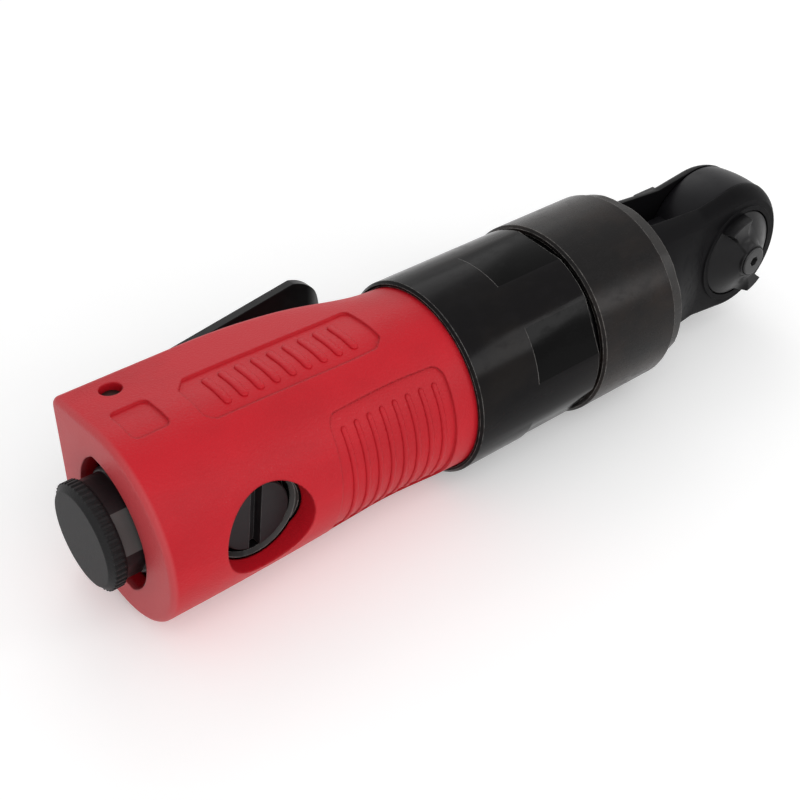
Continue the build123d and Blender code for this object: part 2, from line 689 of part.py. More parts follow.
with BuildPart() as valve_plug:
    with BuildSketch(y_plane(VALVE_X, -BOSS_Y - 0.4)):
        Circle(PLUG_R - 0.1)
    extrude(amount=PLUG_LENGTH + 0.4)
    chamfer(valve_plug.edges().group_by(Axis.Y)[0], 0.25)
    with BuildSketch(y_plane(VALVE_X, -BOSS_Y - 0.4)):
        Rectangle(SLOT_WIDTH, 2 * PLUG_R, rotation=6)
    extrude(amount=1.9, mode=Mode.SUBTRACT)
    # spring pocket in its inner face
    with BuildSketch(y_plane(VALVE_X, PLUG_INNER_Y)):
        Circle(CHAMBER_R - 0.9)
    extrude(amount=-2.5, mode=Mode.SUBTRACT)
    # groove for the sealing ring
    with BuildSketch(y_plane(VALVE_X, PLUG_INNER_Y - 2.2)):
        Circle(PLUG_R)
        Circle(PLUG_R - 0.95, mode=Mode.SUBTRACT)
    extrude(amount=1.3, mode=Mode.SUBTRACT)

valve_plug.part.label = "valve_plug"
export_step(valve_plug.part, "parts/valve_plug.step")

with BuildPart() as plug_ring:
    with BuildSketch(Plane(origin=(VALVE_X, PLUG_INNER_Y - 1.55, 0))):
        with Locations((PLUG_R - 0.45, 0)):
            Circle(0.48)
    revolve(axis=Axis((VALVE_X, 0, 0), (0, 1, 0)))

plug_ring.part.label = "plug_ring"
export_step(plug_ring.part, "parts/plug_ring.step")

SPRING_WIRE_R = 0.4
SPRING_R = CHAMBER_R - 2.0
SPRING_BOTTOM = PLUG_INNER_Y - 2.5 + SPRING_WIRE_R
SPRING_TOP = VALVE_CLOSED_Y - POPPET_THICK - SPRING_WIRE_R
with BuildPart() as valve_spring:
    with BuildLine() as coil:
        Helix(
            pitch=(SPRING_TOP - SPRING_BOTTOM) / 5,
            height=SPRING_TOP - SPRING_BOTTOM,
            radius=SPRING_R,
            center=(VALVE_X, SPRING_BOTTOM, 0),
            direction=(0, 1, 0),
        )
    with BuildSketch(Plane(origin=coil.line @ 0, z_dir=coil.line % 0)):
        Circle(SPRING_WIRE_R)
    sweep()

valve_spring.part.label = "valve_spring"
export_step(valve_spring.part, "parts/valve_spring.step")


# =========================================================== throttle lever
def lever_point(x: float, depth: float = 0.0) -> tuple[float, float]:
    """Point on the released lever's outer face, or a depth below it."""
    drop = depth / math.cos(math.radians(LEVER_RISE))
    return x, LEVER_TOP_Y + (x - PIN_X) * LEVER_SLOPE - drop


FLARE_X = LEVER_TIP_X - 4.5
with BuildPart() as throttle_lever:
    # side view of the plate, with its tip flared outwards
    with BuildSketch(Plane.XY):
        with BuildLine():
            Polyline(
                lever_point(LEVER_BACK_X, LEVER_THICK),
                lever_point(LEVER_BACK_X),
                lever_point(FLARE_X),
            )
            Spline(
                lever_point(FLARE_X),
                lever_point(LEVER_TIP_X, -LEVER_FLARE),
                tangents=[(1, LEVER_SLOPE), (1, LEVER_SLOPE + 0.6)],
            )
            Line(
                lever_point(LEVER_TIP_X, -LEVER_FLARE),
                lever_point(LEVER_TIP_X, LEVER_THICK - LEVER_FLARE),
            )
            Spline(
                lever_point(LEVER_TIP_X, LEVER_THICK - LEVER_FLARE),
                lever_point(FLARE_X, LEVER_THICK),
                tangents=[(-1, -LEVER_SLOPE - 0.6), (-1, -LEVER_SLOPE)],
            )
            Line(lever_point(FLARE_X, LEVER_THICK), lever_point(LEVER_BACK_X, LEVER_THICK))
        make_face()
    extrude(amount=LEVER_HALF, both=True)
    # plan view: square at the pin, round at the tip
    with BuildSketch(y_plane(0, 0)):
        with BuildLine():
            Polyline(
                (0, -LEVER_HALF),
                (LEVER_TIP_X - 8, -LEVER_HALF),
            )
            ThreePointArc(
                (LEVER_TIP_X - 8, -LEVER_HALF),
                (LEVER_TIP_X - 1.9, -LEVER_HALF + 4.6),
                (LEVER_TIP_X, 0),
            )
            ThreePointArc(
                (LEVER_TIP_X, 0),
                (LEVER_TIP_X - 1.9, LEVER_HALF - 4.6),
                (LEVER_TIP_X - 8, LEVER_HALF),
            )
            Polyline((LEVER_TIP_X - 8, LEVER_HALF), (0, LEVER_HALF), (0, -LEVER_HALF))
        make_face()
    extrude(amount=40, mode=Mode.INTERSECT)
    # cheeks, from the plate down to the pin
    for cheek_z in (LEVER_HALF - CHEEK_THICK, -LEVER_HALF):
        with BuildSketch(Plane.XY.offset(cheek_z)):
            with BuildLine():
                Polyline(
                    lever_point(LEVER_BACK_X, LEVER_THICK / 2),
                    (LEVER_BACK_X, PIN_Y - 3.3),
                    (PIN_X + 2.2, PIN_Y - 3.3),
                    (PIN_X + 4.6, PIN_Y + 2.0),
                    lever_point(CHEEK_END_X, LEVER_THICK),
                    lever_point(CHEEK_END_X, LEVER_THICK / 2),
                    close=True,
                )
            make_face()
            fillet(vertices().sort_by(Axis.Y)[:3], 1.6)
        extrude(amount=CHEEK_THICK)
    with BuildSketch(Plane.XY.offset(-LEVER_HALF)):
        with Locations((PIN_X, PIN_Y)):
            Circle(PIN_R + RUN)
    extrude(amount=2 * LEVER_HALF, mode=Mode.SUBTRACT)

throttle_lever.part.label = "throttle_lever"
export_step(throttle_lever.part, "parts/throttle_lever.step")

PIN_HALF = COVER_CORNER_Z - 0.9
with BuildPart() as lever_pin:
    with BuildSketch(Plane.XY.offset(-PIN_HALF)):
        with Locations((PIN_X, PIN_Y)):
            Circle(PIN_R)
    extrude(amount=2 * PIN_HALF)
    chamfer(lever_pin.edges().filter_by(GeomType.CIRCLE), 0.3)

lever_pin.part.label = "lever_pin"
export_step(lever_pin.part, "parts/lever_pin.step")


# ==================================================================== motor
with BuildPart() as rear_end_plate:
    with BuildSketch(Plane.YZ.offset(MOTOR_X)):
        Circle(MOTOR_BORE_R - SLIP)
        Circle(SHAFT_R + 0.4, mode=Mode.SUBTRACT)
        with Locations(polar(PASSAGE_END_R, PASSAGE_ANGLE)):
            Circle(PASSAGE_R - 0.6, mode=Mode.SUBTRACT)
    extrude(amount=PLATE_THICK)
    # exhaust notches in its rim
    with BuildSketch(Plane.YZ.offset(MOTOR_X)):
        exhaust_circles(MOTOR_BORE_R - NOTCH_INSET, EXHAUST_R)
    extrude(amount=PLATE_THICK, mode=Mode.SUBTRACT)
    with BuildSketch(Plane.YZ.offset(MOTOR_X)):
        Circle(BEARING_R)
    extrude(amount=BEARING_WIDTH, mode=Mode.SUBTRACT)

rear_end_plate.part.label = "rear_end_plate"
export_step(rear_end_plate.part, "parts/rear_end_plate.step")

with BuildPart() as motor_cylinder:
    with BuildSketch(Plane.YZ.offset(CYLINDER_X)):
        Circle(MOTOR_BORE_R - SLIP)
        with Locations((0, CYLINDER_OFFSET)):
            Circle(CYLINDER_BORE_R, mode=Mode.SUBTRACT)
    extrude(amount=CYLINDER_LENGTH)
    # grooves that carry the exhaust air back along the outside
    with BuildSketch(Plane.YZ.offset(CYLINDER_X)):
        exhaust_circles(MOTOR_BORE_R, 1.1)
    extrude(amount=CYLINDER_LENGTH - 3, mode=Mode.SUBTRACT)
    # ring-shaped relief that joins them
    with BuildSketch(Plane.YZ.offset(CYLINDER_X + 5)):
        Circle(MOTOR_BORE_R)
        Circle(MOTOR_BORE_R - 0.9, mode=Mode.SUBTRACT)
    extrude(amount=CYLINDER_LENGTH - 9, mode=Mode.SUBTRACT)
    # exhaust slots through the wall, on the window side
    with BuildSketch(y_plane(0, -MOTOR_BORE_R)):
        with Locations(*[(CYLINDER_X + 6.5 + 3.2 * index, 0) for index in range(4)]):
            SlotOverall(7, 1.6, rotation=90)
    extrude(amount=6, mode=Mode.SUBTRACT)

motor_cylinder.part.label = "motor_cylinder"
export_step(motor_cylinder.part, "parts/motor_cylinder.step")


def flank_half_angle(radius: float, pitch_r: float, teeth: int, play: float) -> float:
    """Half of an involute tooth's angle at a radius, in radians."""
    base_r = pitch_r * math.cos(math.radians(20))
    at_pitch = math.pi / (2 * teeth) + play / (2 * pitch_r)
    start = math.tan(math.radians(20)) - math.radians(20)
    lean = math.acos(min(1.0, base_r / radius))
    return at_pitch + start - (math.tan(lean) - lean)


def gear_outline(teeth: int, root_r: float, tip_r: float, play: float, turn: float) -> list:
    """Corner points of a gear, counter-clockwise.

    Args:
        teeth: number of teeth.
        root_r: radius of the gaps' floors.
        tip_r: radius of the tips.
        play: added to the tooth's thickness at the pitch circle.
        turn: direction of the first tooth, in degrees.
    """
    pitch_r = MODULE * teeth / 2
    points = []
    for index in range(teeth):
        middle = math.radians(turn) + 2 * math.pi * index / teeth
        radii = (root_r, pitch_r, tip_r)
        halves = [flank_half_angle(r, pitch_r, teeth, play) for r in radii]
        for r, half in zip(radii, halves):
            points.append((r * math.cos(middle - half), r * math.sin(middle - half)))
        for r, half in zip(reversed(radii), reversed(halves)):
            points.append((r * math.cos(middle + half), r * math.sin(middle + half)))
    return points


ROTOR_BACK_X = CYLINDER_X + 0.15
ROTOR_END_X = FRONT_PLATE_X - 0.15
SUN_X = RING_X + 1.2
SUN_END_X = GEAR_X + GEAR_WIDTH
with BuildPart() as rotor:
    with BuildSketch(Plane.YZ.offset(ROTOR_BACK_X)):
        Circle(ROTOR_R)
        with PolarLocations(ROTOR_R - VANE_HEIGHT / 2, VANE_COUNT):
            Rectangle(VANE_HEIGHT + 4 * VANE_GAP, VANE_THICK + VANE_GAP, mode=Mode.SUBTRACT)
    extrude(amount=ROTOR_END_X - ROTOR_BACK_X)
    with BuildSketch(Plane.YZ.offset(MOTOR_X + 0.3)):
        Circle(SHAFT_R)
    extrude(amount=SUN_X - MOTOR_X - 0.3)
    # sun pinion
    outline = gear_outline(SUN_TEETH, SUN_PITCH_R - 0.7, SUN_PITCH_R + 0.5, -BACKLASH / 2, 0)
    with BuildSketch(Plane.YZ.offset(SUN_X)):
        with BuildLine():
            Polyline(*outline, close=True)
        make_face()
    extrude(amount=SUN_END_X - SUN_X)

rotor.part.label = "rotor"
export_step(rotor.part, "parts/rotor.step")

with BuildPart() as vane:
    with BuildSketch(Plane.YZ.offset(ROTOR_BACK_X)):
        with Locations((ROTOR_R - VANE_GAP - VANE_HEIGHT / 2, 0)):
            Rectangle(VANE_HEIGHT, VANE_THICK)
    extrude(amount=ROTOR_END_X - ROTOR_BACK_X)
    chamfer(vane.edges().filter_by(Axis.X).group_by(Axis.Y)[-1], 0.4)

for number in range(VANE_COUNT):
    turned = Rot(X=number * 360 / VANE_COUNT) * vane.part
    turned.label = f"vane_{number + 1}"
    export_step(turned, f"parts/vane_{number + 1}.step")

with BuildPart() as front_end_plate:
    with BuildSketch(Plane.YZ.offset(FRONT_PLATE_X)):
        Circle(MOTOR_BORE_R - SLIP)
        Circle(SHAFT_R + 0.4, mode=Mode.SUBTRACT)
    extrude(amount=PLATE_THICK)
    with BuildSketch(Plane.YZ.offset(RING_X - BEARING_WIDTH)):
        Circle(BEARING_R)
    extrude(amount=BEARING_WIDTH, mode=Mode.SUBTRACT)

front_end_plate.part.label = "front_end_plate"
export_step(front_end_plate.part, "parts/front_end_plate.step")

# Ball bearings: outer race, inner race, and cage with its balls.
RACE_MID_R = (BEARING_R + SHAFT_R) / 2
INNER_RACE_R = RACE_MID_R - 0.75
OUTER_RACE_R = RACE_MID_R + 0.75
GROOVE_R = BALL_R + 0.03


def export_bearing(name: str, x: float) -> None:
    """Builds one ball bearing whose rear face is at x and writes its pieces."""
    middle = x + BEARING_WIDTH / 2
    with BuildPart() as outer_race:
        with BuildSketch(Plane.XY):
            with Locations((middle, (OUTER_RACE_R + BEARING_R) / 2)):
                Rectangle(BEARING_WIDTH, BEARING_R - OUTER_RACE_R)
            with Locations((middle, RACE_MID_R)):
                Circle(GROOVE_R, mode=Mode.SUBTRACT)
        revolve(axis=Axis.X)
    with BuildPart() as inner_race:
        with BuildSketch(Plane.XY):
            with Locations((middle, (SHAFT_R + INNER_RACE_R) / 2)):
                Rectangle(BEARING_WIDTH, INNER_RACE_R - SHAFT_R)
            with Locations((middle, RACE_MID_R)):
                Circle(GROOVE_R, mode=Mode.SUBTRACT)
        revolve(axis=Axis.X)
    with BuildPart() as balls:
        with BuildSketch(Plane.XY):
            with Locations((middle, RACE_MID_R)):
                Rectangle(1.2, 0.5)
        revolve(axis=Axis.X)
        with Locations(Plane.YZ.offset(middle)):
            with PolarLocations(RACE_MID_R, BALL_COUNT):
                Sphere(BALL_R)
    for piece, kind in ((outer_race, "outer"), (inner_race, "inner"), (balls, "balls")):
        piece.part.label = f"{name}_{kind}"
        export_step(piece.part, f"parts/{name}_{kind}.step")


export_bearing("rear_bearing", MOTOR_X)
export_bearing("front_bearing", RING_X - BEARING_WIDTH)


# =========================================================== planetary gear
# The gaps of an internal gear have the shape of an external gear's teeth.
outline = gear_outline(RING_TEETH, RING_PITCH_R - 0.5, RING_PITCH_R + 0.7, BACKLASH / 2, 0)
with BuildPart() as ring_gear:
    with BuildSketch(Plane.YZ.offset(RING_X)):
        Circle(MOTOR_BORE_R - SLIP)
        with BuildLine():
            Polyline(*outline, close=True)
        make_face(mode=Mode.SUBTRACT)
    extrude(amount=RING_LENGTH)

ring_gear.part.label = "ring_gear"
export_step(ring_gear.part, "parts/ring_gear.step")

# Each planet has a tooth in the ring's gap straight outside it.
for number in range(PLANET_COUNT):
    orbit = 360 / PLANET_COUNT * number
    centre = polar(PLANET_ORBIT_R, orbit)
    outline = gear_outline(
        PLANET_TEETH, PLANET_PITCH_R - 0.7, PLANET_PITCH_R + 0.5, -BACKLASH / 2, orbit
    )
    with BuildPart() as planet_gear:
        with BuildSketch(Plane.YZ.offset(GEAR_X)):
            with BuildLine():
                Polyline(*[(centre[0] + y, centre[1] + z) for y, z in outline], close=True)
            make_face()
            with Locations(centre):
                Circle(PLANET_PIN_R + RUN, mode=Mode.SUBTRACT)
        extrude(amount=GEAR_WIDTH)
    planet_gear.part.label = f"planet_gear_{number + 1}"
    export_step(planet_gear.part, f"parts/planet_gear_{number + 1}.step")
    with BuildPart() as planet_pin:
        with BuildSketch(Plane.YZ.offset(GEAR_X - 0.3)):
            with Locations(centre):
                Circle(PLANET_PIN_R)
        extrude(amount=CARRIER_END_X - GEAR_X + 0.3)
    planet_pin.part.label = f"planet_pin_{number + 1}"
    export_step(planet_pin.part, f"parts/planet_pin_{number + 1}.step")

CRANK_PIN_X = SLOT_X + 0.4
CRANK_PIN_END_X = CRANK_PIN_X + 7.0
with BuildPart() as carrier:
    with BuildSketch(Plane.YZ.offset(CARRIER_X)):
        Circle(RING_PITCH_R - 1.2)
        with PolarLocations(PLANET_ORBIT_R, PLANET_COUNT):
            Circle(PLANET_PIN_R, mode=Mode.SUBTRACT)
    extrude(amount=CARRIER_END_X - CARRIER_X)
    with BuildSketch(Plane.YZ.offset(CARRIER_END_X)):
        Circle(CRANK_SHAFT_R)
    extrude(amount=CRANK_PIN_X - CARRIER_END_X)
    with BuildSketch(Plane.YZ.offset(CRANK_PIN_X)):
        with Locations((-THROW, 0)):
            Circle(CRANK_PIN_R)
    extrude(amount=CRANK_PIN_END_X - CRANK_PIN_X)

carrier.part.label = "carrier"
export_step(carrier.part, "parts/carrier.step")

with BuildPart() as thrust_washer:
    with BuildSketch(Plane.YZ.offset(WASHER_X)):
        Circle(RING_PITCH_R - 1.4)
        Circle(CRANK_SHAFT_R + 0.3, mode=Mode.SUBTRACT)
    extrude(amount=WASHER_THICK)

thrust_washer.part.label = "thrust_washer"
export_step(thrust_washer.part, "parts/thrust_washer.step")


# ================================================================ clamp nut
with BuildPart() as clamp_nut:
    with BuildSketch(Plane.XY):
        with BuildLine():
            Polyline(
                (NUT_BACK_X, RELIEF_R + SLIP),
                (NUT_BACK_X, NUT_R - EDGE),
                (NUT_BACK_X + EDGE, NUT_R),
                (NUT_EDGE_X - EDGE, NUT_R),
                (NUT_EDGE_X, NUT_R - 0.6),
                (NUT_EDGE_X, NOSE_R),
                (NOSE_X - 0.4, NOSE_R - 0.1),
                (NOSE_X, NOSE_R - 0.5),
                (NOSE_X, LIP_R),
                (LIP_X, LIP_R),
                (LIP_X, THREAD_R + SLIP),
                (NUT_BACK_X + 1.6, THREAD_R + SLIP),
                (NUT_BACK_X + 1.6, RELIEF_R + SLIP),
                close=True,
            )
        make_face()
    revolve(axis=Axis.X)
    # spanner flats on the nose
    with BuildSketch(Plane.YZ.offset(NUT_EDGE_X)):
        with PolarLocations(NOSE_R - NOSE_FLAT_DEPTH + 2, 6, start_angle=30):
            Rectangle(4, NOSE_R)
    extrude(amount=NOSE_X - NUT_EDGE_X, mode=Mode.SUBTRACT)

clamp_nut.part.label = "clamp_nut"
export_step(clamp_nut.part, "parts/clamp_nut.step")


# ============================================================= ratchet head
def near_plane(y: float) -> Plane:
    """Plane at Y = -y on the square drive's axis; its normal points away, to -Y."""
    return Plane(origin=(HEAD_X, -y, 0), x_dir=(1, 0, 0), z_dir=(0, -1, 0))


def fork_section(half_z: float) -> None:
    """Closed outline of eight edges: four sides and four bulging bevels."""
    flat_y = EAR_FACE_Y - BEVEL_WIDE_Y
    flat_z = half_z - BEVEL_WIDE_Z
    slant = math.hypot(BEVEL_WIDE_Y, BEVEL_WIDE_Z)
    middle_y = flat_y + BEVEL_WIDE_Y / 2 + BEVEL_BULGE * BEVEL_WIDE_Z / slant
    middle_z = flat_z + BEVEL_WIDE_Z / 2 + BEVEL_BULGE * BEVEL_WIDE_Y / slant
    arcs = []
    for side_y, side_z in [(1, 1), (-1, 1), (-1, -1), (1, -1)]:
        first = (side_y * EAR_FACE_Y, side_z * flat_z)
        middle = (side_y * middle_y, side_z * middle_z)
        last = (side_y * flat_y, side_z * half_z)
        arcs.append((first, middle, last) if side_y * side_z > 0 else (last, middle, first))
    for index, arc in enumerate(arcs):
        ThreePointArc(*arc)
        Line(arc[2], arcs[(index + 1) % 4][0])


def neck_section(radius: float) -> None:
    """The same eight edges on a full circle."""
    low = math.degrees(math.atan2(EAR_HALF_Z - BEVEL_WIDE_Z, EAR_FACE_Y))
    high = math.degrees(math.atan2(EAR_HALF_Z, EAR_FACE_Y - BEVEL_WIDE_Y))
    cuts = [low, high, 180 - high, 180 - low, 180 + low, 180 + high, 360 - high, 360 - low]
    for index, start in enumerate(cuts):
        end = cuts[(index + 1) % 8] + (360 if index == 7 else 0)
        middle = (start + end) / 2
        ThreePointArc(polar(radius, start), polar(radius, middle), polar(radius, end))


# The fork widens from the bevels' end until it meets the round end's side.
EAR_LEAN = math.asin(HEAD_R / math.hypot(HEAD_X - BEVEL_X, EAR_HALF_Z)) - math.atan2(
    EAR_HALF_Z, HEAD_X - BEVEL_X
)
EAR_MEET_X = HEAD_X - HEAD_R * math.sin(EAR_LEAN)
with BuildPart() as ratchet_head:
    with BuildSketch(Plane.XY):
        with BuildLine():
            Polyline(
                (RING_END_X, 0),
                (RING_END_X, MOTOR_BORE_R - SLIP),
                (BARREL_END_X, MOTOR_BORE_R - SLIP),
                (BARREL_END_X, FLANGE_R),
                (LIP_X, FLANGE_R),
                (LIP_X, HEAD_NECK_R),
                (NOSE_X, HEAD_NECK_R),
                (NOSE_X, 0),
                close=True,
            )
        make_face()
    revolve(axis=Axis.X)
    # the round neck changes into the fork's flat, round-cornered section
    with BuildSketch(Plane.YZ.offset(NOSE_X)):
        with BuildLine():
            neck_section(HEAD_NECK_R)
        make_face()
    with BuildSketch(Plane.YZ.offset(BEVEL_X)):
        with BuildLine():
            fork_section(EAR_HALF_Z)
        make_face()
    loft(ruled=True)
    # it widens to the round end of both ears
    with BuildSketch(Plane.YZ.offset(BEVEL_X)):
        with BuildLine():
            fork_section(EAR_HALF_Z)
        make_face()
    with BuildSketch(Plane.YZ.offset(EAR_MEET_X)):
        with BuildLine():
            fork_section(HEAD_R * math.cos(EAR_LEAN) - 0.02)
        make_face()
    loft(ruled=True)
    with BuildSketch(Plane(origin=(HEAD_X, 0, 0), x_dir=(1, 0, 0), z_dir=(0, 0, 1))):
        with BuildLine():
            slant = math.hypot(BEVEL_WIDE_Y, BEVEL_WIDE_Z)
            bevel_start = (HEAD_R, EAR_FACE_Y - BEVEL_WIDE_Y)
            bevel_middle = (
                HEAD_R - BEVEL_WIDE_Z / 2 + BEVEL_BULGE * BEVEL_WIDE_Y / slant,
                EAR_FACE_Y - BEVEL_WIDE_Y / 2 + BEVEL_BULGE * BEVEL_WIDE_Z / slant,
            )
            bevel_end = (HEAD_R - BEVEL_WIDE_Z, EAR_FACE_Y)
            Polyline((0, EAR_FACE_Y), (0, -EAR_FACE_Y), (bevel_end[0], -EAR_FACE_Y))
            ThreePointArc(
                (bevel_end[0], -EAR_FACE_Y),
                (bevel_middle[0], -bevel_middle[1]),
                (HEAD_R, -bevel_start[1]),
            )
            Line((HEAD_R, -bevel_start[1]), bevel_start)
            ThreePointArc(bevel_start, bevel_middle, bevel_end)
            Line(bevel_end, (0, EAR_FACE_Y))
        make_face()
    revolve(axis=Axis((HEAD_X, 0, 0), (0, 1, 0)))
    # bosses round the two bores
    with BuildSketch(near_plane(EAR_FACE_Y)):
        Circle(BOSS_RING_R)
    extrude(amount=BOSS_RISE, taper=30)
    with BuildSketch(y_plane(HEAD_X, EAR_FACE_Y)):
        Circle(FAR_BORE_R + 2)
    extrude(amount=BOSS_RISE, taper=30)
    # slot between the ears
    with BuildSketch(Plane.XY.offset(-HEAD_NECK_R - 1)):
        with Locations(((SLOT_X + HEAD_X + HEAD_R + 1) / 2, 0)):
            Rectangle(HEAD_X + HEAD_R + 1 - SLOT_X, 2 * SLOT_HALF_Y)
        fillet(vertices().group_by(Axis.X)[0], 0.8)
    extrude(amount=2 * HEAD_NECK_R + 2, mode=Mode.SUBTRACT)
    # bores of the two ears, and the retaining ring's groove
    with BuildSketch(near_plane(0)):
        Circle(NEAR_BORE_R)
    extrude(amount=EAR_FACE_Y + 1, mode=Mode.SUBTRACT)
    with BuildSketch(y_plane(HEAD_X, 0)):
        Circle(FAR_BORE_R)
    extrude(amount=EAR_FACE_Y + 1, mode=Mode.SUBTRACT)
    with BuildSketch(near_plane(RING_Y)):
        Circle(NEAR_BORE_R + 0.5)
    extrude(amount=RING_THICK, mode=Mode.SUBTRACT)
    # washer recess and the crank shaft's bore
    with BuildSketch(Plane.YZ.offset(RING_END_X)):
        Circle(RING_PITCH_R - 1.0)
    extrude(amount=WASHER_X + WASHER_THICK - RING_END_X, mode=Mode.SUBTRACT)
    with BuildSketch(Plane.YZ.offset(RING_END_X)):
        Circle(CRANK_BUSH_R)
    extrude(amount=SLOT_X - RING_END_X + 1, mode=Mode.SUBTRACT)

ratchet_head.part.label = "ratchet_head"
export_step(ratchet_head.part, "parts/ratchet_head.step")

CRANK_BUSH_X = WASHER_X + WASHER_THICK
with BuildPart() as crank_bushing:
    with BuildSketch(Plane.YZ.offset(CRANK_BUSH_X)):
        Circle(CRANK_BUSH_R)
        Circle(CRANK_SHAFT_R + RUN, mode=Mode.SUBTRACT)
    extrude(amount=SLOT_X - 0.2 - CRANK_BUSH_X)

crank_bushing.part.label = "crank_bushing"
export_step(crank_bushing.part, "parts/crank_bushing.step")

# barrel-shaped bushing on the crank's pin
with BuildPart() as drive_bushing:
    with BuildSketch(Plane.XY):
        with BuildLine():
            start = (CRANK_PIN_X + 0.6, DRIVE_BUSH_R - 0.4)
            end = (CRANK_PIN_END_X - 0.5, DRIVE_BUSH_R - 0.4)
            ThreePointArc(start, ((start[0] + end[0]) / 2, DRIVE_BUSH_R), end)
            Polyline(start, (start[0], CRANK_PIN_R), (end[0], CRANK_PIN_R), end)
        make_face()
    revolve(axis=Axis.X)

offset_bushing = Pos(Y=-THROW) * drive_bushing.part
offset_bushing.label = "drive_bushing"
export_step(offset_bushing, "parts/drive_bushing.step")


# ===================================================================== yoke
YOKE_ARM_X = SLOT_X + 0.9
YOKE_SLOT_END_X = CRANK_PIN_END_X + 1.5
YOKE_R = HEAD_R - 0.1
with BuildPart() as ratchet_yoke:
    # ring with a crowned rim
    with BuildSketch(Plane(origin=(HEAD_X, 0, 0), x_dir=(1, 0, 0), z_dir=(0, 0, 1))):
        with BuildLine():
            rim = ThreePointArc(
                (YOKE_R, -YOKE_HALF_Y),
                (YOKE_R + YOKE_CROWN, 0),
                (YOKE_R, YOKE_HALF_Y),
            )
            Polyline(rim @ 1, (0, YOKE_HALF_Y), (0, -YOKE_HALF_Y), rim @ 0)
        make_face()
    revolve(axis=Axis((HEAD_X, 0, 0), (0, 1, 0)))
    fillet(ratchet_yoke.edges().filter_by(GeomType.CIRCLE), 0.3)
    # arms, narrower than the ring, on both sides of the drive bushing
    with BuildSketch(y_plane(0, -ARM_HALF_Y)):
        with BuildLine():
            Polyline(
                (YOKE_ARM_X, -ARM_HALF_Z),
                (HEAD_X - YOKE_ROOT_R, -ARM_HALF_Z),
                (HEAD_X - YOKE_ROOT_R, ARM_HALF_Z),
                (YOKE_ARM_X, ARM_HALF_Z),
                close=True,
            )
        make_face()
    extrude(amount=2 * ARM_HALF_Y)
    with BuildSketch(y_plane(0, -YOKE_HALF_Y)):
        with Locations(((YOKE_ARM_X - 1 + YOKE_SLOT_END_X) / 2, 0)):
            Rectangle(YOKE_SLOT_END_X - YOKE_ARM_X + 1, 2 * YOKE_SLOT_HALF)
        fillet(vertices().group_by(Axis.X)[-1], 2.5)
    extrude(amount=2 * YOKE_HALF_Y, mode=Mode.SUBTRACT)
    # internal teeth
    with BuildSketch(y_plane(HEAD_X, -YOKE_HALF_Y)):
        with BuildLine():
            Polyline(*[
                polar(YOKE_ROOT_R if corner % 2 else YOKE_CREST_R, corner * 180 / YOKE_TEETH)
                for corner in range(2 * YOKE_TEETH)
            ], close=True)
        make_face()
    extrude(amount=2 * YOKE_HALF_Y, mode=Mode.SUBTRACT)

ratchet_yoke.part.label = "ratchet_yoke"
export_step(ratchet_yoke.part, "parts/ratchet_yoke.step")


# ==================================================================== anvil
DRUM_HALF_Y = YOKE_HALF_Y - 0.1
with BuildPart() as anvil:
    with BuildSketch(Plane(origin=(HEAD_X, 0, 0), x_dir=(1, 0, 0), z_dir=(0, 0, 1))):
        with BuildLine():
            Polyline(
                (0, -RING_Y),
                (NEAR_JOURNAL_R, -RING_Y),
                (NEAR_JOURNAL_R, -DRUM_HALF_Y),
                (DRUM_R, -DRUM_HALF_Y),
                (DRUM_R, DRUM_HALF_Y),
                (FAR_BORE_R - RUN, DRUM_HALF_Y),
                (FAR_BORE_R - RUN, EAR_FACE_Y + BOSS_RISE),
                (FAR_BORE_R - 1.2, EAR_FACE_Y + BOSS_RISE + 0.2),
                (FAR_BORE_R - 2.0, SQUARE_START_Y),
                (0, SQUARE_START_Y),
                close=True,
            )
        make_face()
    revolve(axis=Axis((HEAD_X, 0, 0), (0, 1, 0)))
    with BuildSketch(y_plane(HEAD_X, SQUARE_START_Y - 0.5)):
        RectangleRounded(SQUARE, SQUARE, 0.5)
    extrude(amount=SQUARE_TIP_Y - SQUARE_START_Y + 0.5)
    chamfer(anvil.edges().group_by(Axis.Y)[-1], 0.5)
    # selector spindle's bore, from the knob's side
    with BuildSketch(near_plane(RING_Y)):
        Circle(SPINDLE_R + RUN)
    extrude(amount=-(RING_Y + PAWL_HALF_Y + 0.6), mode=Mode.SUBTRACT)
    # pawl pocket, open towards the drum's rim, and the plunger's window
    with BuildSketch(y_plane(HEAD_X, -PAWL_HALF_Y - 0.3)):
        with Locations((DRUM_R / 2 + PAWL_POCKET_X, 0)):
            Rectangle(DRUM_R, PAWL_POCKET_WIDTH)
        with Locations((PAWL_POCKET_X, 0)):
            Rectangle(2 * PAWL_POCKET_X, PLUNGER_WINDOW)
    extrude(amount=2 * PAWL_HALF_Y + 0.6, mode=Mode.SUBTRACT)
    # pawl pin's hole
    with BuildSketch(near_plane(DRUM_HALF_Y)):
        with Locations((PAWL_PIN_X - HEAD_X, 0)):
            Circle(PAWL_PIN_R)
    extrude(amount=-2 * DRUM_HALF_Y, mode=Mode.SUBTRACT)
    # detent ball's hole
    with BuildSketch(Plane.YZ.offset(HEAD_X - SQUARE / 2 - 1)):
        with Locations((BALL_DETENT_Y, 0)):
            Circle(BALL_DETENT_R + RUN)
    extrude(amount=3.1, mode=Mode.SUBTRACT)

anvil.part.label = "anvil"
export_step(anvil.part, "parts/anvil.step")

with BuildPart() as detent_ball:
    with Locations((HEAD_X - SQUARE / 2 - 1 + 3.1 - BALL_DETENT_R, BALL_DETENT_Y, 0)):
        Sphere(BALL_DETENT_R)

detent_ball.part.label = "detent_ball"
export_step(detent_ball.part, "parts/detent_ball.step")

with BuildPart() as pawl_pin:
    with BuildSketch(near_plane(DRUM_HALF_Y)):
        with Locations((PAWL_PIN_X - HEAD_X, 0)):
            Circle(PAWL_PIN_R)
    extrude(amount=-2 * DRUM_HALF_Y)

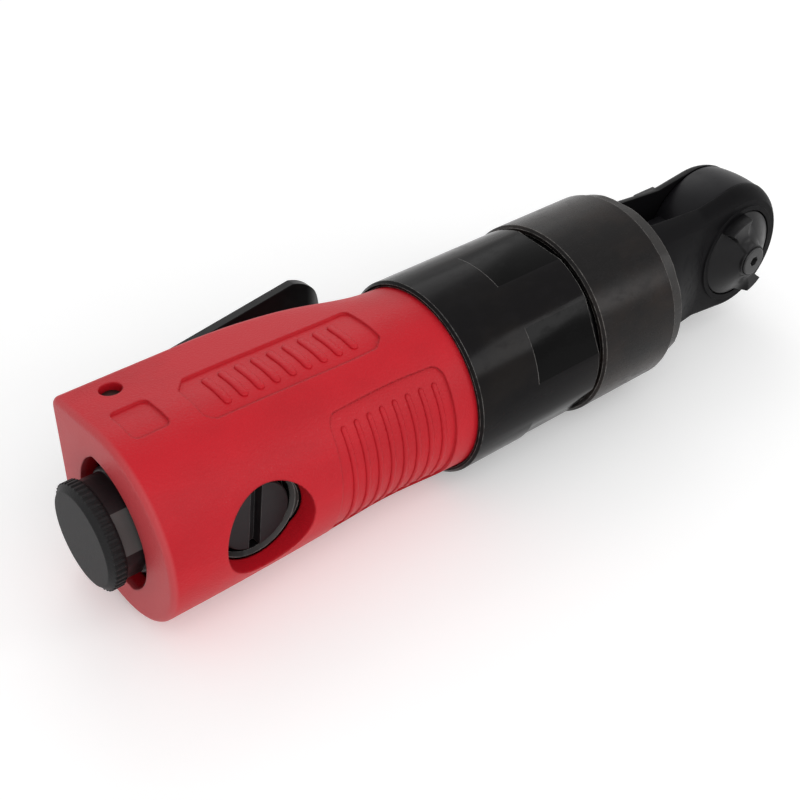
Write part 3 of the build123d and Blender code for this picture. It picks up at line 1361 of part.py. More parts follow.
pawl_pin.part.label = "pawl_pin"
export_step(pawl_pin.part, "parts/pawl_pin.step")

# Drawn upright, then tilted to the end that drives.
TIP = polar(PAWL_TIP_R, 40)
with BuildPart() as pawl:
    with BuildSketch(y_plane(HEAD_X, -PAWL_HALF_Y)):
        with BuildLine():
            ThreePointArc((TIP[0], TIP[1]), (PAWL_TIP_R - 0.5, 0), (TIP[0], -TIP[1]))
            Polyline(
                (TIP[0], -TIP[1]),
                (TIP[0] - 1.6, -TIP[1] + 0.2),
                (PAWL_NOSE_X, -PAWL_NOSE_HALF),
                (PAWL_NOSE_X - PAWL_NOSE_DIP, 0),
                (PAWL_NOSE_X, PAWL_NOSE_HALF),
                (TIP[0] - 1.6, TIP[1] - 0.2),
                (TIP[0], TIP[1]),
            )
        make_face()
        with Locations((PAWL_PIN_X - HEAD_X, 0)):
            Circle(PAWL_PIN_R + RUN, mode=Mode.SUBTRACT)
    extrude(amount=2 * PAWL_HALF_Y)

pawl_axis = Axis((PAWL_PIN_X, 0, 0), (0, 1, 0))
tilted_pawl = pawl.part.rotate(pawl_axis, PAWL_TILT)
tilted_pawl.label = "pawl"
export_step(tilted_pawl, "parts/pawl.step")

with BuildPart() as retainer_plate:
    with BuildSketch(near_plane(YOKE_HALF_Y)):
        Circle(NEAR_BORE_R - RUN)
        Circle(NEAR_JOURNAL_R + RUN, mode=Mode.SUBTRACT)
    extrude(amount=RING_Y - YOKE_HALF_Y)

retainer_plate.part.label = "retainer_plate"
export_step(retainer_plate.part, "parts/retainer_plate.step")

with BuildPart() as retaining_ring:
    with BuildSketch(near_plane(RING_Y)):
        Circle(NEAR_BORE_R + 0.45)
        Circle(NEAR_BORE_R - 0.85, mode=Mode.SUBTRACT)
        with Locations((-NEAR_BORE_R, 0)):
            Rectangle(3.0, 4.0, mode=Mode.SUBTRACT)
    extrude(amount=RING_THICK)

retaining_ring.part.label = "retaining_ring"
export_step(retaining_ring.part, "parts/retaining_ring.step")


# ================================================================= selector
KNOB_EDGE = 0.4
with BuildPart() as reverse_knob:
    # disc with a domed top, turned about the square drive's axis
    with BuildSketch(Plane(origin=(HEAD_X, 0, 0), x_dir=(1, 0, 0), z_dir=(0, 0, 1))):
        with BuildLine():
            Polyline(
                (HUB_R, -DOME_TOP_Y),
                (HUB_R, -HUB_TOP_Y + KNOB_EDGE),
                (HUB_R - KNOB_EDGE, -HUB_TOP_Y),
                (0, -HUB_TOP_Y),
                (0, -KNOB_Y),
                (KNOB_R, -KNOB_Y),
                (KNOB_R, -KNOB_RIM_Y + KNOB_EDGE),
                (KNOB_R - KNOB_EDGE, -KNOB_RIM_Y),
            )
            ThreePointArc(
                (KNOB_R - KNOB_EDGE, -KNOB_RIM_Y),
                ((KNOB_R + HUB_R) / 2, -(KNOB_RIM_Y + 2 * DOME_TOP_Y) / 3),
                (HUB_R, -DOME_TOP_Y),
            )
        make_face()
    revolve(axis=Axis((HEAD_X, 0, 0), (0, 1, 0)))
    # grip across the dome, its ends flush with the rim
    with BuildSketch(near_plane(KNOB_Y)):
        Circle(KNOB_R - KNOB_EDGE / 2)
        Rectangle(GRIP_WIDTH, 2 * KNOB_R, rotation=GRIP_TURN, mode=Mode.INTERSECT)
        fillet(vertices(), 0.8)
    extrude(amount=GRIP_TOP_Y - KNOB_Y)
    with BuildSketch(near_plane(SCREW_SEAT_Y)):
        Circle(SCREW_HEAD_R + RUN)
    extrude(amount=GRIP_TOP_Y, mode=Mode.SUBTRACT)
    with BuildSketch(near_plane(KNOB_Y)):
        RectangleRounded(3.6, 3.6, 0.3)
    extrude(amount=1.3, mode=Mode.SUBTRACT)
    with BuildSketch(near_plane(KNOB_Y)):
        Circle(SCREW_SHANK_R)
    extrude(amount=SCREW_SEAT_Y - KNOB_Y, mode=Mode.SUBTRACT)

reverse_knob.part.label = "reverse_knob"
export_step(reverse_knob.part, "parts/reverse_knob.step")

SPINDLE_END_Y = PAWL_HALF_Y + 0.4
PLUNGER_WAY = (math.cos(math.radians(GRIP_TURN)), 0, math.sin(math.radians(GRIP_TURN)))
HEAD_AXIS = Axis((HEAD_X, 0, 0), (0, 1, 0))
with BuildPart() as selector_spindle:
    with BuildSketch(near_plane(KNOB_Y)):
        Circle(SPINDLE_R)
    extrude(amount=-(KNOB_Y + SPINDLE_END_Y))
    # square end in the knob, and the screw's hole
    with BuildSketch(near_plane(KNOB_Y)):
        RectangleRounded(3.6, 3.6, 0.3)
    extrude(amount=1.2)
    with BuildSketch(near_plane(KNOB_Y - 3.5)):
        Circle(SCREW_SHANK_R)
    extrude(amount=6, mode=Mode.SUBTRACT)
    # cross hole for the plunger and its spring
    with BuildSketch(Plane(origin=(HEAD_X, 0, 0), z_dir=PLUNGER_WAY)):
        Circle(PLUNGER_R + RUN)
    extrude(amount=SPINDLE_R + 1, mode=Mode.SUBTRACT)
    with BuildSketch(Plane(origin=(HEAD_X, 0, 0), z_dir=PLUNGER_WAY)):
        Circle(PLUNGER_R + RUN)
    extrude(amount=-2.2, mode=Mode.SUBTRACT)

selector_spindle.part.label = "selector_spindle"
export_step(selector_spindle.part, "parts/selector_spindle.step")

with BuildPart() as knob_screw:
    with BuildSketch(near_plane(SCREW_SEAT_Y)):
        Circle(SCREW_HEAD_R)
    extrude(amount=SCREW_TOP_Y - SCREW_SEAT_Y)
    fillet(knob_screw.edges().group_by(Axis.Y)[0], 0.3)
    with BuildSketch(near_plane(KNOB_Y - 3.4)):
        Circle(SCREW_SHANK_R)
    extrude(amount=SCREW_SEAT_Y - KNOB_Y + 3.4)
    with BuildSketch(near_plane(SCREW_TOP_Y)):
        RegularPolygon(1.15, 6)
    extrude(amount=-1.2, mode=Mode.SUBTRACT)

knob_screw.part.label = "knob_screw"
export_step(knob_screw.part, "parts/knob_screw.step")

# The plunger points past the pawl's nose; drawn along X, then turned with the knob.
PLUNGER_TIP_X = HEAD_X + PLUNGER_REACH
PLUNGER_X = HEAD_X + 0.9
with BuildPart() as selector_plunger:
    with BuildSketch(Plane.XY):
        with BuildLine():
            ThreePointArc(
                (PLUNGER_TIP_X, 0),
                (PLUNGER_TIP_X - 0.25, 0.6),
                (PLUNGER_TIP_X - 0.9, PLUNGER_R),
            )
            Polyline(
                (PLUNGER_TIP_X - 0.9, PLUNGER_R),
                (PLUNGER_X, PLUNGER_R),
                (PLUNGER_X, 0),
                (PLUNGER_TIP_X, 0),
            )
        make_face()
    revolve(axis=Axis.X)

turned_plunger = selector_plunger.part.rotate(HEAD_AXIS, -GRIP_TURN)
turned_plunger.label = "selector_plunger"
export_step(turned_plunger, "parts/selector_plunger.step")

with BuildPart() as plunger_spring:
    with BuildLine() as coil:
        Helix(
            pitch=(PLUNGER_X - HEAD_X + 1.8) / 4,
            height=PLUNGER_X - HEAD_X + 1.8,
            radius=PLUNGER_R - 0.25,
            center=(HEAD_X - 2.0, 0, 0),
            direction=(1, 0, 0),
        )
    with BuildSketch(Plane(origin=coil.line @ 0, z_dir=coil.line % 0)):
        Circle(0.2)
    sweep()

turned_spring = plunger_spring.part.rotate(HEAD_AXIS, -GRIP_TURN)
turned_spring.label = "plunger_spring"
export_step(turned_spring, "parts/plunger_spring.step")
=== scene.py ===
"""Dresses the mini air ratchet: its finishes, its fine trim, the floor, the light and the camera.

All lengths are in metres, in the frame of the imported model: +X from the air inlet to the
ratchet head, +Y towards the throttle lever and the square drive, +Z along the lever's pin.
"""
import json
import logging
import math
from dataclasses import dataclass
from enum import Enum

import bmesh
import bpy
import numpy as np
from mathutils import Matrix, Vector
from mathutils.bvhtree import BVHTree


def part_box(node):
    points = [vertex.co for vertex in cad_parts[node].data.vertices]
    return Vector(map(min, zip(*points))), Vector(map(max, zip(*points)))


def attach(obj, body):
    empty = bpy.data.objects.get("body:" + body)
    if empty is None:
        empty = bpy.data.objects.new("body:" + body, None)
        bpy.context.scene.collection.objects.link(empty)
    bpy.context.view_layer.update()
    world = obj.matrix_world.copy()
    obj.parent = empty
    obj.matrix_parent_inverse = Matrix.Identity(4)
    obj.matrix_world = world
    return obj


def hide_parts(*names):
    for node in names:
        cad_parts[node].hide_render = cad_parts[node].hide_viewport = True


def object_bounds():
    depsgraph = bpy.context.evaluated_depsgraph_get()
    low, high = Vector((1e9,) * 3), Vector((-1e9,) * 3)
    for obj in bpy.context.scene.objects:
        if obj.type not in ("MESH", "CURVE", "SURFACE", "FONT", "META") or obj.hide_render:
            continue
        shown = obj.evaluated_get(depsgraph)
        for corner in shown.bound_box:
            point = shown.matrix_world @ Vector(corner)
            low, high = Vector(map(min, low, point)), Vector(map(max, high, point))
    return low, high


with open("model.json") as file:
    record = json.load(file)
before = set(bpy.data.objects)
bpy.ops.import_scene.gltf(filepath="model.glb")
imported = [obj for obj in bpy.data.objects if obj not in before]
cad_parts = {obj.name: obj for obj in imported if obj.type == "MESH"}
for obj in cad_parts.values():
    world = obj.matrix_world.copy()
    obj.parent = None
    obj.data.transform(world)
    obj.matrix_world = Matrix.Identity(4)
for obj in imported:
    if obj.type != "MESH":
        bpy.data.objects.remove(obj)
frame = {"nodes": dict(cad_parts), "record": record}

CAD_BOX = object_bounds()
MM = 0.001
# painted shade: the barrel's milled flats keep only this share of the steel's colour, standing in for their
# darker reflection
FLAT_SHADE_SHARE = 0.15  # of the steel's colour, left on the barrel's milled flats
PLUG_RING = (0.95 * MM, 1.6 * MM)  # the chamfer's start and end outside the valve plug
PLUG_RING_DEPTH = 1.4 * MM
PLUG_RING_SHARE = (0.15, 0.5)  # of the bare grey, from the ring's rear to its front
NUT_NOSE_RAMP = (2.95 * MM, 2.75 * MM)  # behind the nut's front
NUT_NOSE_SHARE = 0.22
INLET_FLAT_STEP = 1.35 * MM  # inside the bushing's radius
INLET_FLAT_LENGTH = 4.95 * MM
INLET_FLAT_SHARE = 0.55
BARE_GREY = (0.13, 0.128, 0.125)
LOG = logging.getLogger("air_ratchet")


# ------------------------------------------------------------ node graphs
class Graph:
    """Adds and links nodes in one node tree."""

    def __init__(self, tree: bpy.types.NodeTree) -> None:
        """Keeps the tree.

        Args:
            tree: a material's or a group's node tree.
        """
        self.tree = tree

    def add(self, kind: str, inputs: dict | None = None, **settings: object) -> bpy.types.Node:
        """Adds a node.

        Args:
            kind: the node's type name.
            inputs: values, or sockets to link, by input name or number.
            settings: the node's own properties.

        Returns:
            The new node.
        """
        node = self.tree.nodes.new(kind)
        for name, value in settings.items():
            setattr(node, name, value)
        for key, value in (inputs or {}).items():
            if isinstance(value, bpy.types.NodeSocket):
                self.tree.links.new(value, node.inputs[key])
            else:
                node.inputs[key].default_value = value
        return node

    def math(self, operation: str, first: object, second: object = 0.0, clamp: bool = False) -> object:
        """Adds a Math node and returns its result.

        Args:
            operation: the node's operation.
            first: value or socket.
            second: value or socket.
            clamp: keeps the result between 0 and 1.

        Returns:
            The result's socket.
        """
        node = self.add("ShaderNodeMath", {0: first, 1: second}, operation=operation, use_clamp=clamp)
        return node.outputs[0]

    def ramp(self, value: object, low: float, high: float, start: float = 0.0, end: float = 1.0) -> object:
        """Maps a value smoothly from [low, high] to [start, end].

        Args:
            value: the socket to map.
            low: value that gives start.
            high: value that gives end.
            start: result at low.
            end: result at high.

        Returns:
            The result's socket.
        """
        node = self.add(
            "ShaderNodeMapRange",
            {"Value": value, "From Min": low, "From Max": high, "To Min": start, "To Max": end},
            interpolation_type="SMOOTHSTEP",
        )
        return node.outputs["Result"]

    def mix(self, factor: object, first: object, second: object) -> object:
        """Mixes two colours.

        Args:
            factor: value or socket.
            first: colour or socket at factor 0.
            second: colour or socket at factor 1.

        Returns:
            The colour's socket.
        """
        node = self.add("ShaderNodeMix", {0: factor, 6: first, 7: second}, data_type="RGBA")
        return node.outputs[2]

    def place(self, scale: tuple[float, float, float] = (1, 1, 1), offset: tuple = (0, 0, 0)) -> object:
        """Returns Object coordinates, moved and then scaled.

        Args:
            scale: factor for each axis.
            offset: point that becomes the pattern's origin, in metres.

        Returns:
            The vector's socket.
        """
        at = self.add("ShaderNodeTexCoord").outputs["Object"]
        moved = self.add("ShaderNodeVectorMath", {0: at, 1: offset}, operation="SUBTRACT").outputs[0]
        return self.add("ShaderNodeVectorMath", {0: moved, 1: scale}, operation="MULTIPLY").outputs[0]

    def noise(self, vector: object, scale: float, detail: float = 2.0, rough: float = 0.5) -> object:
        """Adds a noise texture and returns its value.

        Args:
            vector: where it is read.
            scale: features per metre.
            detail: number of octaves.
            rough: strength of the finer octaves.

        Returns:
            The value's socket.
        """
        node = self.add(
            "ShaderNodeTexNoise",
            {"Vector": vector, "Scale": scale, "Detail": detail, "Roughness": rough},
        )
        return node.outputs["Fac"]


def new_group(name: str, inputs: dict[str, float], outputs: dict[str, str]) -> tuple[Graph, object, object]:
    """Starts a shader node group.

    Args:
        name: the group's name.
        inputs: default of each float input, by name.
        outputs: socket type of each output, by name.

    Returns:
        The group's graph, its input node and its output node.
    """
    tree = bpy.data.node_groups.new(name, "ShaderNodeTree")
    for label, default in inputs.items():
        socket = tree.interface.new_socket(label, in_out="INPUT", socket_type="NodeSocketFloat")
        socket.default_value = default
    for label, kind in outputs.items():
        tree.interface.new_socket(label, in_out="OUTPUT", socket_type=kind)
    graph = Graph(tree)
    return graph, graph.add("NodeGroupInput"), graph.add("NodeGroupOutput")


def edge_wear_group() -> bpy.types.NodeTree:
    """Builds the group that finds worn edges.

    The mask is 1 - (rounded normal . true normal), raised where the wear noise is high.

    Returns:
        The node group, with outputs Mask and Normal.
    """
    graph, given, result = new_group(
        "edge_wear",
        {"Radius": 0.0003, "Reach": 0.12, "Patches": 400.0},
        {"Mask": "NodeSocketFloat", "Normal": "NodeSocketVector"},
    )
    rounded = graph.add("ShaderNodeBevel", {"Radius": given.outputs["Radius"]}, samples=6).outputs[0]
    true = graph.add("ShaderNodeNewGeometry").outputs["Normal"]
    dot = graph.add("ShaderNodeVectorMath", {0: rounded, 1: true}, operation="DOT_PRODUCT").outputs["Value"]
    bend = graph.math("SUBTRACT", 1.0, dot)
    reach = graph.math("DIVIDE", bend, given.outputs["Reach"], clamp=True)
    patches = graph.noise(graph.place(), given.outputs["Patches"], 3.0, 0.6)
    worn = graph.math("MULTIPLY", reach, graph.ramp(patches, 0.3, 0.62, 0.25, 1.0))
    graph.tree.links.new(worn, result.inputs["Mask"])
    graph.tree.links.new(rounded, result.inputs["Normal"])
    return graph.tree


def grain_group() -> bpy.types.NodeTree:
    """Builds the fine grain of moulded and blasted surfaces.

    The height is a cell pattern, whose cells are about 1/Scale wide, plus finer noise.

    Returns:
        The node group, with outputs Height and Speck.
    """
    graph, given, result = new_group(
        "fine_grain",
        {"Scale": 3000.0},
        {"Height": "NodeSocketFloat", "Speck": "NodeSocketFloat"},
    )
    at = graph.place()
    cells = graph.add(
        "ShaderNodeTexVoronoi", {"Vector": at, "Scale": given.outputs["Scale"]}, feature="F1"
    ).outputs["Distance"]
    fine = graph.noise(at, graph.math("MULTIPLY", given.outputs["Scale"], 1.7), 2.0, 0.6)
    height = graph.math("ADD", graph.math("MULTIPLY", cells, 0.6), graph.math("MULTIPLY", fine, 0.5))
    speck = graph.ramp(fine, 0.58, 0.74)
    graph.tree.links.new(height, result.inputs["Height"])
    graph.tree.links.new(speck, result.inputs["Speck"])
    return graph.tree


def turning_group() -> bpy.types.NodeTree:
    """Builds lathe lines round the tool's axis.

    The height depends on X and the radius only, so that every line is a ring.

    Returns:
        The node group, with output Height.
    """
    graph, given, result = new_group("turning_lines", {"Pitch": 9000.0}, {"Height": "NodeSocketFloat"})
    at = graph.add("ShaderNodeSeparateXYZ", {0: graph.place()})
    squares = graph.math(
        "ADD", graph.math("POWER", at.outputs["Y"], 2.0), graph.math("POWER", at.outputs["Z"], 2.0)
    )
    ring = graph.add(
        "ShaderNodeCombineXYZ", {"X": at.outputs["X"], "Y": graph.math("SQRT", squares)}
    ).outputs[0]
    height = graph.noise(ring, given.outputs["Pitch"], 2.0, 0.7)
    graph.tree.links.new(height, result.inputs["Height"])
    return graph.tree


def mottle_group() -> bpy.types.NodeTree:
    """Builds cloudy stains, as oxide finishes have, and small smudges.

    Returns:
        The node group, with outputs Stain and Smudge.
    """
    graph, given, result = new_group(
        "oxide_mottle",
        {"Scale": 90.0},
        {"Stain": "NodeSocketFloat", "Smudge": "NodeSocketFloat"},
    )
    at = graph.place((0.6, 1.0, 1.0))
    stain = graph.ramp(graph.noise(at, given.outputs["Scale"], 4.0, 0.62), 0.42, 0.7)
    finer = graph.math("MULTIPLY", given.outputs["Scale"], 7.0)
    smudge = graph.ramp(graph.noise(at, finer, 5.0, 0.7), 0.45, 0.68)
    graph.tree.links.new(stain, result.inputs["Stain"])
    graph.tree.links.new(smudge, result.inputs["Smudge"])
    return graph.tree


GROUPS = {
    "edge_wear": edge_wear_group(),
    "fine_grain": grain_group(),
    "turning_lines": turning_group(),
    "oxide_mottle": mottle_group(),
}


class Shader:
    """One material under construction: its graph and its Principled BSDF."""

    def __init__(self, name: str, roughness: float, metallic: float, specular: float) -> None:
        """Starts a material.

        Args:
            name: the material's name.
            roughness: plain roughness, until one is linked.
            metallic: plain metallic value.
            specular: strength of the surface's plain gloss, 0.5 for glass.
        """
        self.material = bpy.data.materials.new(name)
        self.material.use_nodes = True
        self.graph = Graph(self.material.node_tree)
        self.surface = self.material.node_tree.nodes["Principled BSDF"]
        self.set("Roughness", roughness)
        self.set("Metallic", metallic)
        self.set("Specular IOR Level", specular)

    def set(self, name: str, value: object) -> None:
        """Sets or links one of the surface's sockets."""
        if isinstance(value, bpy.types.NodeSocket):
            self.graph.tree.links.new(value, self.surface.inputs[name])
        else:
            self.surface.inputs[name].default_value = value

    def group(self, name: str, **inputs: float) -> bpy.types.Node:
        """Places a shared node group with its own values."""
        node = self.graph.add("ShaderNodeGroup", node_tree=GROUPS[name])
        for label, value in inputs.items():
            node.inputs[label].default_value = value
        return node

    def bump(self, height: object, depth: float, normal: object = None, strength: float = 1.0) -> object:
        """Adds a Bump node.

        Args:
            height: the height's socket.
            depth: height in metres where it is 1.
            normal: normal that it starts from.
            strength: share of the effect.

        Returns:
            The normal's socket.
        """
        inputs = {"Height": height, "Distance": depth, "Strength": strength}
        if normal is not None:
            inputs["Normal"] = normal
        return self.graph.add("ShaderNodeBump", inputs).outputs[0]


class Region(Enum):
    """Places on one node that are finished in another way; the cover's rear face instead carries a painted
    reflection.
    """

    NONE = "none"
    # the cover's rear face, made paler by a painted reflection
    REAR_FACE = "rear_face"
    PLUG_CHAMFER = "plug_chamfer"
    INLET_FLAT = "inlet_flat"
    NUT_NOSE = "nut_nose"


@dataclass(frozen=True)
class MouldedPlastic:
    """Plastic with a fine moulded grain."""

    name: str
    colour: tuple[float, float, float]
    roughness: float
    specular: float
    grain_per_m: float
    grain_depth: float
    sheen_spots: float
    region: Region = Region.NONE

    def build(self) -> bpy.types.Material:
        """Makes the material.

        Returns:
            The finished material.
        """
        shader = Shader(self.name, self.roughness, 0.0, self.specular)
        graph = shader.graph
        grain = shader.group("fine_grain", Scale=self.grain_per_m)
        mottle = shader.group("oxide_mottle", Scale=45.0)
        wear = shader.group("edge_wear", Radius=0.0005, Reach=0.3, Patches=900.0)
        shade = tuple(0.86 * c for c in self.colour)
        pale = tuple(min(1.0, 1.12 * c + 0.012) for c in self.colour)
        base = graph.mix(mottle.outputs["Stain"], (*self.colour, 1), (*shade, 1))
        speck = graph.math("MULTIPLY", grain.outputs["Speck"], 0.35)
        base = graph.mix(speck, base, (*pale, 1))
        edge = graph.math("MULTIPLY", wear.outputs["Mask"], 0.3)
        base = graph.mix(edge, base, (*pale, 1))
        # painted reflection: the rear face is made paler, as the white floor's sheen on it
        if self.region is Region.REAR_FACE:
            sheen_colour = tuple(0.9 * c + 0.045 for c in self.colour)
            base = graph.mix(painted_sheen_mask(graph), base, (*sheen_colour, 1))
        shader.set("Base Color", base)
        rough = graph.ramp(grain.outputs["Speck"], 0.0, 1.0, self.roughness, self.roughness - self.sheen_spots)
        shader.set("Roughness", rough)
        shader.set("Normal", shader.bump(grain.outputs["Height"], self.grain_depth, wear.outputs["Normal"]))
        return shader.material


@dataclass(frozen=True)
class OxideSteel:
    """Blackened steel: dark, slightly brown in patches, bright where its edges are worn."""

    name: str
    colour: tuple[float, float, float]
    stain: tuple[float, float, float]
    bare: tuple[float, float, float]
    roughness: float
    specular: float
    wear_reach: float
    line_depth: float
    grain_depth: float
    region: Region = Region.NONE

    def region_mask(self, graph: Graph) -> object:
        """Returns a mask that is 1 on the differently finished place.

        Args:
            graph: the material's graph.

        Returns:
            The mask's socket.
        """
        at = graph.add("ShaderNodeSeparateXYZ", {0: graph.place()})
        if self.region is Region.PLUG_CHAMFER:
            return plug_chamfer_mask(graph, at)
        if self.region is Region.NUT_NOSE:
            return nut_nose_mask(graph, at)
        return inlet_flat_mask(graph, at)

    def milled(self, graph: Graph) -> object:
        """Returns a mask that is 1 on the barrel's milled flats, inside its turned outside, where painted
        shade darkens them.

        Args:
            graph: the material's graph.

        Returns:
            The mask's socket.
        """
        low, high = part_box("motor_housing")
        at = graph.add("ShaderNodeSeparateXYZ", {0: graph.place()})
        squares = graph.math(
            "ADD", graph.math("POWER", at.outputs["Y"], 2.0), graph.math("POWER", at.outputs["Z"], 2.0)
        )
        inside = graph.math("LESS_THAN", graph.math("SQRT", squares), float(high[2]) - 0.05 * MM)
        ahead = graph.math("GREATER_THAN", at.outputs["X"], float(low[0]) + 60.0 * MM)
        return graph.math("MULTIPLY", inside, ahead)

    def build(self) -> bpy.types.Material:
        """Makes the material.

        Returns:
            The finished material.
        """
        shader = Shader(self.name, self.roughness, 0.0, self.specular)
        graph = shader.graph
        wear = shader.group("edge_wear", Radius=0.00022, Reach=self.wear_reach, Patches=700.0)
        mottle = shader.group("oxide_mottle", Scale=70.0)
        grain = shader.group("fine_grain", Scale=5200.0)
        base = graph.mix(mottle.outputs["Stain"], (*self.colour, 1), (*self.stain, 1))
        fleck = graph.math("MULTIPLY", mottle.outputs["Smudge"], 0.35)
        base = graph.mix(fleck, base, tuple(1.5 * c for c in self.colour) + (1,))
        mask = wear.outputs["Mask"]
        rough = graph.ramp(mottle.outputs["Smudge"], 0.0, 1.0, self.roughness, self.roughness + 0.08)
        if self.region is Region.PLUG_CHAMFER:
            # painted shade: the milled flats are darkened to stand in for their darker reflection
            base = graph.mix(self.milled(graph), base, tuple(FLAT_SHADE_SHARE * c for c in self.colour) + (1,))
        if self.region is not Region.NONE:
            place = self.region_mask(graph)
            base = graph.mix(place, base, (*BARE_GREY, 1))
            rough = graph.math("MAXIMUM", rough, graph.math("MULTIPLY", place, 0.5))
        base = graph.mix(mask, base, (*self.bare, 1))
        shader.set("Base Color", base)
        shader.set("Roughness", rough)
        normal = shader.bump(grain.outputs["Height"], self.grain_depth, wear.outputs["Normal"])
        if self.line_depth > 0:
            lines = shader.group("turning_lines")
            normal = shader.bump(lines.outputs["Height"], self.line_depth, normal)
        shader.set("Normal", normal)
        return shader.material


def painted_sheen_mask(graph: Graph) -> object:
    """Mask of the cover's rear face, which carries a painted reflection of the white floor that makes it paler
    than its sides.

    Args:
        graph: the material's graph.

    Returns:
        The mask's socket.
    """
    at = graph.add("ShaderNodeSeparateXYZ", {0: graph.place()}).outputs["X"]
    back = float(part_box("handle_cover")[0][0])
    return graph.ramp(at, back + 0.5 * MM, back + 1.3 * MM, 1.0, 0.0)


def plug_chamfer_mask(graph: Graph, at: bpy.types.Node) -> object:
    """Mask of the bright chamfer round the valve plug.

    Args:
        graph: the material's graph.
        at: node that gives the position's X, Y and Z.

    Returns:
        The mask's socket.
    """
    low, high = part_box("valve_plug")
    along = graph.math("SUBTRACT", at.outputs["X"], float(low[0] + high[0]) / 2)
    squares = graph.math("ADD", graph.math("POWER", along, 2.0), graph.math("POWER", at.outputs["Z"], 2.0))
    radius = graph.math("SQRT", squares)
    plug_radius = float(high[0] - low[0]) / 2
    ring = graph.math("GREATER_THAN", radius, plug_radius + PLUG_RING[0])
    outer = graph.math("LESS_THAN", radius, plug_radius + PLUG_RING[1])
    near = graph.math("LESS_THAN", at.outputs["Y"], float(low[1]) + PLUG_RING_DEPTH)
    share = graph.ramp(along, -3.0 * MM, 6.0 * MM, *PLUG_RING_SHARE)
    return graph.math("MULTIPLY", graph.math("MULTIPLY", graph.math("MULTIPLY", ring, outer), near), share)


def nut_nose_mask(graph: Graph, at: bpy.types.Node) -> object:
    """Mask of the clamp nut's front chamfer and nose, whose black is rubbed thin.

    Args:
        graph: the material's graph.
        at: node that gives the position's X, Y and Z.

    Returns:
        The mask's socket.
    """
    front = float(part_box("clamp_nut")[1][0])
    ahead = graph.ramp(at.outputs["X"], front - NUT_NOSE_RAMP[0], front - NUT_NOSE_RAMP[1])
    return graph.math("MULTIPLY", ahead, NUT_NOSE_SHARE)


def inlet_flat_mask(graph: Graph, at: bpy.types.Node) -> object:
    """Mask of the one blasted flat on the inlet bushing.

    Args:
        graph: the material's graph.
        at: node that gives the position's X, Y and Z.

    Returns:
        The mask's socket.
    """
    turn = math.radians(30.0)
    outward = graph.math(
        "ADD",
        graph.math("MULTIPLY", at.outputs["Y"], -math.cos(turn)),
        graph.math("MULTIPLY", at.outputs["Z"], math.sin(turn)),
    )
    low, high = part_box("inlet_bushing")
    reach = float(high[1]) - INLET_FLAT_STEP
    facing = graph.math("GREATER_THAN", outward, reach)
    behind = graph.math("LESS_THAN", at.outputs["X"], float(low[0]) + INLET_FLAT_LENGTH)
    return graph.math("MULTIPLY", graph.math("MULTIPLY", facing, behind), INLET_FLAT_SHARE)


@dataclass(frozen=True)
class PlainMetal:
    """Clean machined metal of the inner pieces, with fine grain and soft stains."""

    name: str
    colour: tuple[float, float, float]
    roughness: float

    def build(self) -> bpy.types.Material:
        """Makes the material.

        Returns:
            The finished material.
        """
        shader = Shader(self.name, self.roughness, 1.0, 0.5)
        graph = shader.graph
        mottle = shader.group("oxide_mottle", Scale=160.0)
        grain = shader.group("fine_grain", Scale=6000.0)
        dull = tuple(0.72 * c for c in self.colour)
        shader.set("Base Color", graph.mix(mottle.outputs["Stain"], (*self.colour, 1), (*dull, 1)))
        rough = graph.ramp(mottle.outputs["Smudge"], 0.0, 1.0, self.roughness, self.roughness + 0.1)
        shader.set("Roughness", rough)
        shader.set("Normal", shader.bump(grain.outputs["Height"], 0.000003))
        return shader.material


